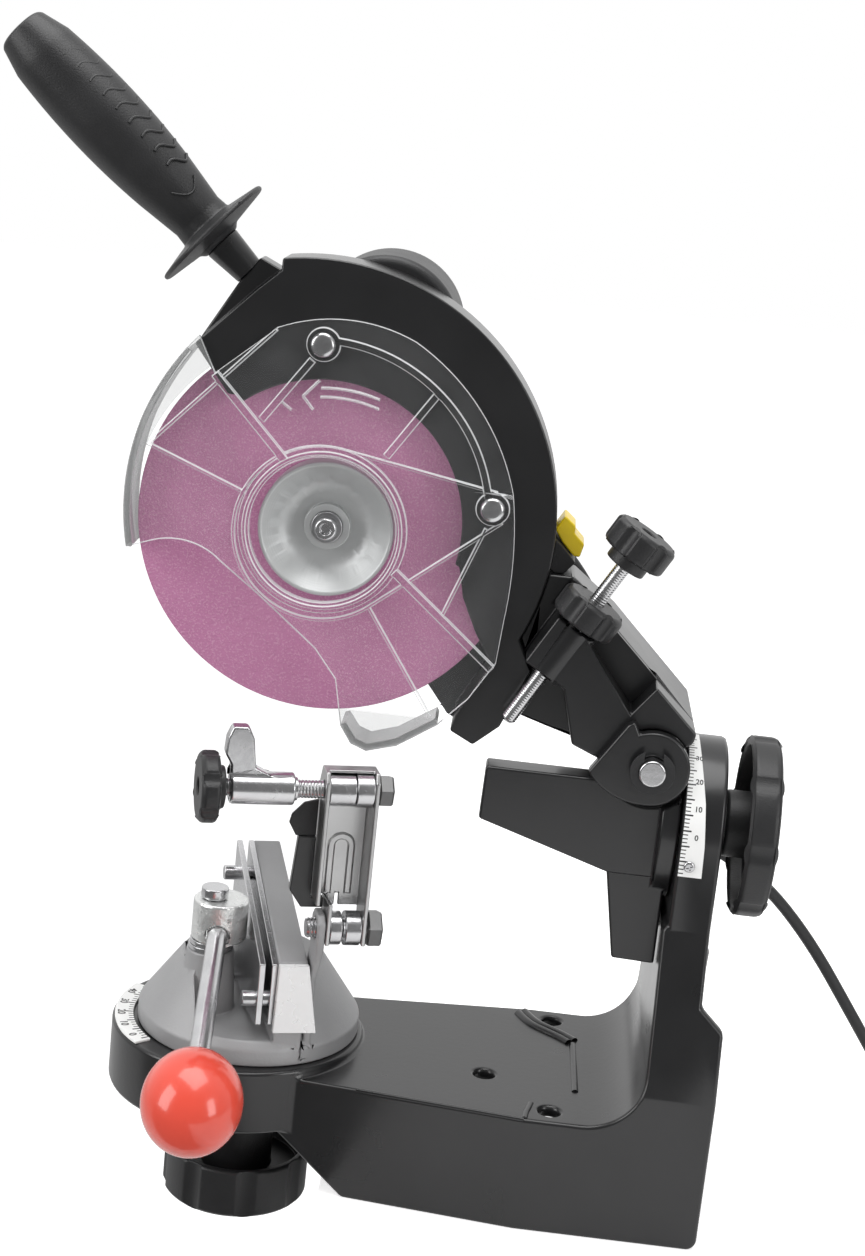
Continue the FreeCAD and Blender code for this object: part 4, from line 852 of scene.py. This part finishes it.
ACROSS = VISE_PLACE.to_3x3() @ Vector((1, 0, 0))
rounded("turntable", 0.8, grey_casting)
rounded("fixed_jaw", 0.35, plated_steel)
rounded("moving_jaw", 0.35, plated_steel)
rounded("jaw_guide_pins", 0.5, plated_steel)
rounded("swivel_stud", 0.7, plated_steel)
rounded("vise_washers", 0.3, plated_steel)
rounded("swivel_knob", 0.5, moulded_black)


def polished(start):
    cloud = start.noise(70.0)
    return {"Base Color": cloud.colour((0.72, 0.72, 0.72, 1), (0.82, 0.82, 0.82, 1)),
            "Roughness": cloud * 0.1 + 0.22}


rounded("jaw_end_plate", 0.4, material("polished_plate", polished, Metallic=0.45))

# ---------------------------------------------------------------- clamp lever
# An eccentric barrel on a stud presses the loose jaw. Its rough cast steel takes a bright
# rod, and the rod ends in a polished red ball.
BALL, BARREL = Vector((-34.2, -94.2, 61)), Vector((-16, -8, 96.3))
BALL_RADIUS, BALL_HALF, BALL_FLAT = 18.35, 20.45, 18.9


def rough_cast(start):
    lumps = start.noise(260.0, 4.0)
    cloud = start.noise(60.0)
    return {"Base Color": cloud.colour((0.70, 0.71, 0.70, 1), (0.90, 0.91, 0.90, 1)),
            "Roughness": lumps * 0.3 + 0.16, "Normal": start.bump(lumps, 0.0008)}


def red(start):
    cloud = start.noise(40.0)
    return {"Base Color": cloud.colour((0.70, 0.065, 0.038, 1), (0.78, 0.085, 0.052, 1)),
            "Roughness": cloud * 0.05 + 0.2}


rounded("cam_stud", 0.6, plated_steel)
rounded("cam_barrel", 1.2, material("rough_cast_steel", rough_cast, Metallic=0.8), 3)
rounded("lever_rod", 0.6, plated_steel)
lever_way = (BALL - BARREL).normalized()
bpy.ops.object.select_all(action="DESELECT")
bpy.ops.mesh.primitive_uv_sphere_add(segments=64, ring_count=40, radius=BALL_RADIUS * MM)
ball = bpy.context.object
ball.name = "red_ball"
bpy.ops.object.mode_set(mode="EDIT")
bpy.ops.mesh.select_all(action="SELECT")
bpy.ops.transform.resize(value=(1, 1, BALL_HALF / BALL_RADIUS), center_override=(0, 0, 0))
bpy.ops.mesh.select_all(action="DESELECT")
bpy.ops.object.mode_set(mode="OBJECT")
for vertex in ball.data.vertices:
    vertex.select = vertex.co.z < -BALL_FLAT * MM
bpy.ops.object.mode_set(mode="EDIT")
bpy.ops.transform.resize(value=(1, 1, 0), center_override=(0, 0, -BALL_FLAT * MM))
bpy.ops.object.mode_set(mode="OBJECT")
stood(ball, on_vise(*BALL), VISE_PLACE.to_3x3() @ lever_way)
smoothed(ball, 50)
red_gloss = material("red_gloss", red, Coat_Weight=0.5, Coat_Roughness=0.05)
carried(ball, red_gloss, "red_plastic", "clamp_lever", "lever_ball")

# ---------------------------------------------------------------- chain stop
# A bright channel bolted to the vise's leg. A long screw carries a sleeve with the pawl
# that catches the chain, and a small knob at its end moves them along.
STOP_Y = -42


def bright_sheet(start):
    streak = start.noise(260.0, at=start.stretched(1, 1, 7))
    cloud = start.noise(50.0)
    return {"Base Color": cloud.colour((0.44, 0.44, 0.44, 1), (0.58, 0.58, 0.58, 1)),
            "Roughness": streak * 0.1 + 0.26, "Normal": start.bump(streak, 0.00002)}


rounded("stop_bracket", 0.45, material("bright_sheet", bright_sheet, Metallic=1.0))
rounded("stop_spacers", 0.4, plated_steel)
rounded("pawl_sleeve", 0.3, plated_steel)
rounded("stop_pawl", 0.9, plated_steel)
rounded("stop_knob", 0.7, moulded_black, 3)
rounded("stop_support", 0.4, black_enamel)
rounded("stop_leaf", 0.3, moulded_black)


def dark_zinc(start):
    cloud = start.noise(120.0)
    return {"Base Color": cloud.colour((0.10, 0.10, 0.10, 1), (0.20, 0.20, 0.20, 1)),
            "Roughness": cloud * 0.2 + 0.26}


def screw_with_nut(name, radius, start, length, z, nut, node):
    """A threaded screw along the vise's X axis, and the chamfered hexagon on its right end, in mm.
    nut is half its width across corners, its height and its place along X."""
    crests = thread(radius, depth=0.3, pitch=1.25, start=0.4, length=length - 0.5)
    shank = drum(name, [(radius - 0.5, 0)] + crests, 24)
    smoothed(stood(shank, on_vise(start, STOP_Y, z), ACROSS), 50)
    carried(shank, plated_steel, "bright_steel", body_of[node], node)
    corner, tall, x = nut
    hexagon = drum(name + "_nut", [(corner * 0.9, 0), (corner, 0.12 * tall), (corner, 0.88 * tall),
                                   (corner * 0.9, tall)], 6)
    smoothed(stood(hexagon, on_vise(x, STOP_Y, z), ACROSS), 30)
    carried(hexagon, dark_metal, "bright_steel", body_of[node])


dark_metal = material("dark_zinc", dark_zinc, Metallic=0.9)
screw_with_nut("stop_screw_thread", radius=3.5, start=-27, length=66, z=161.5, nut=(6.3, 5.6, 33.6),
               node="stop_screw")
screw_with_nut("stop_bolt_thread", radius=3.9, start=11.3, length=28, z=106.5, nut=(7.4, 5.6, 34.3),
               node="stop_bracket_bolt")

# ---------------------------------------------------------------- mains plug
# A two-pin moulded plug on the lead's end, lying beside the coil.
plug = rounded("mains_plug", 0.8, moulded_black, 3)
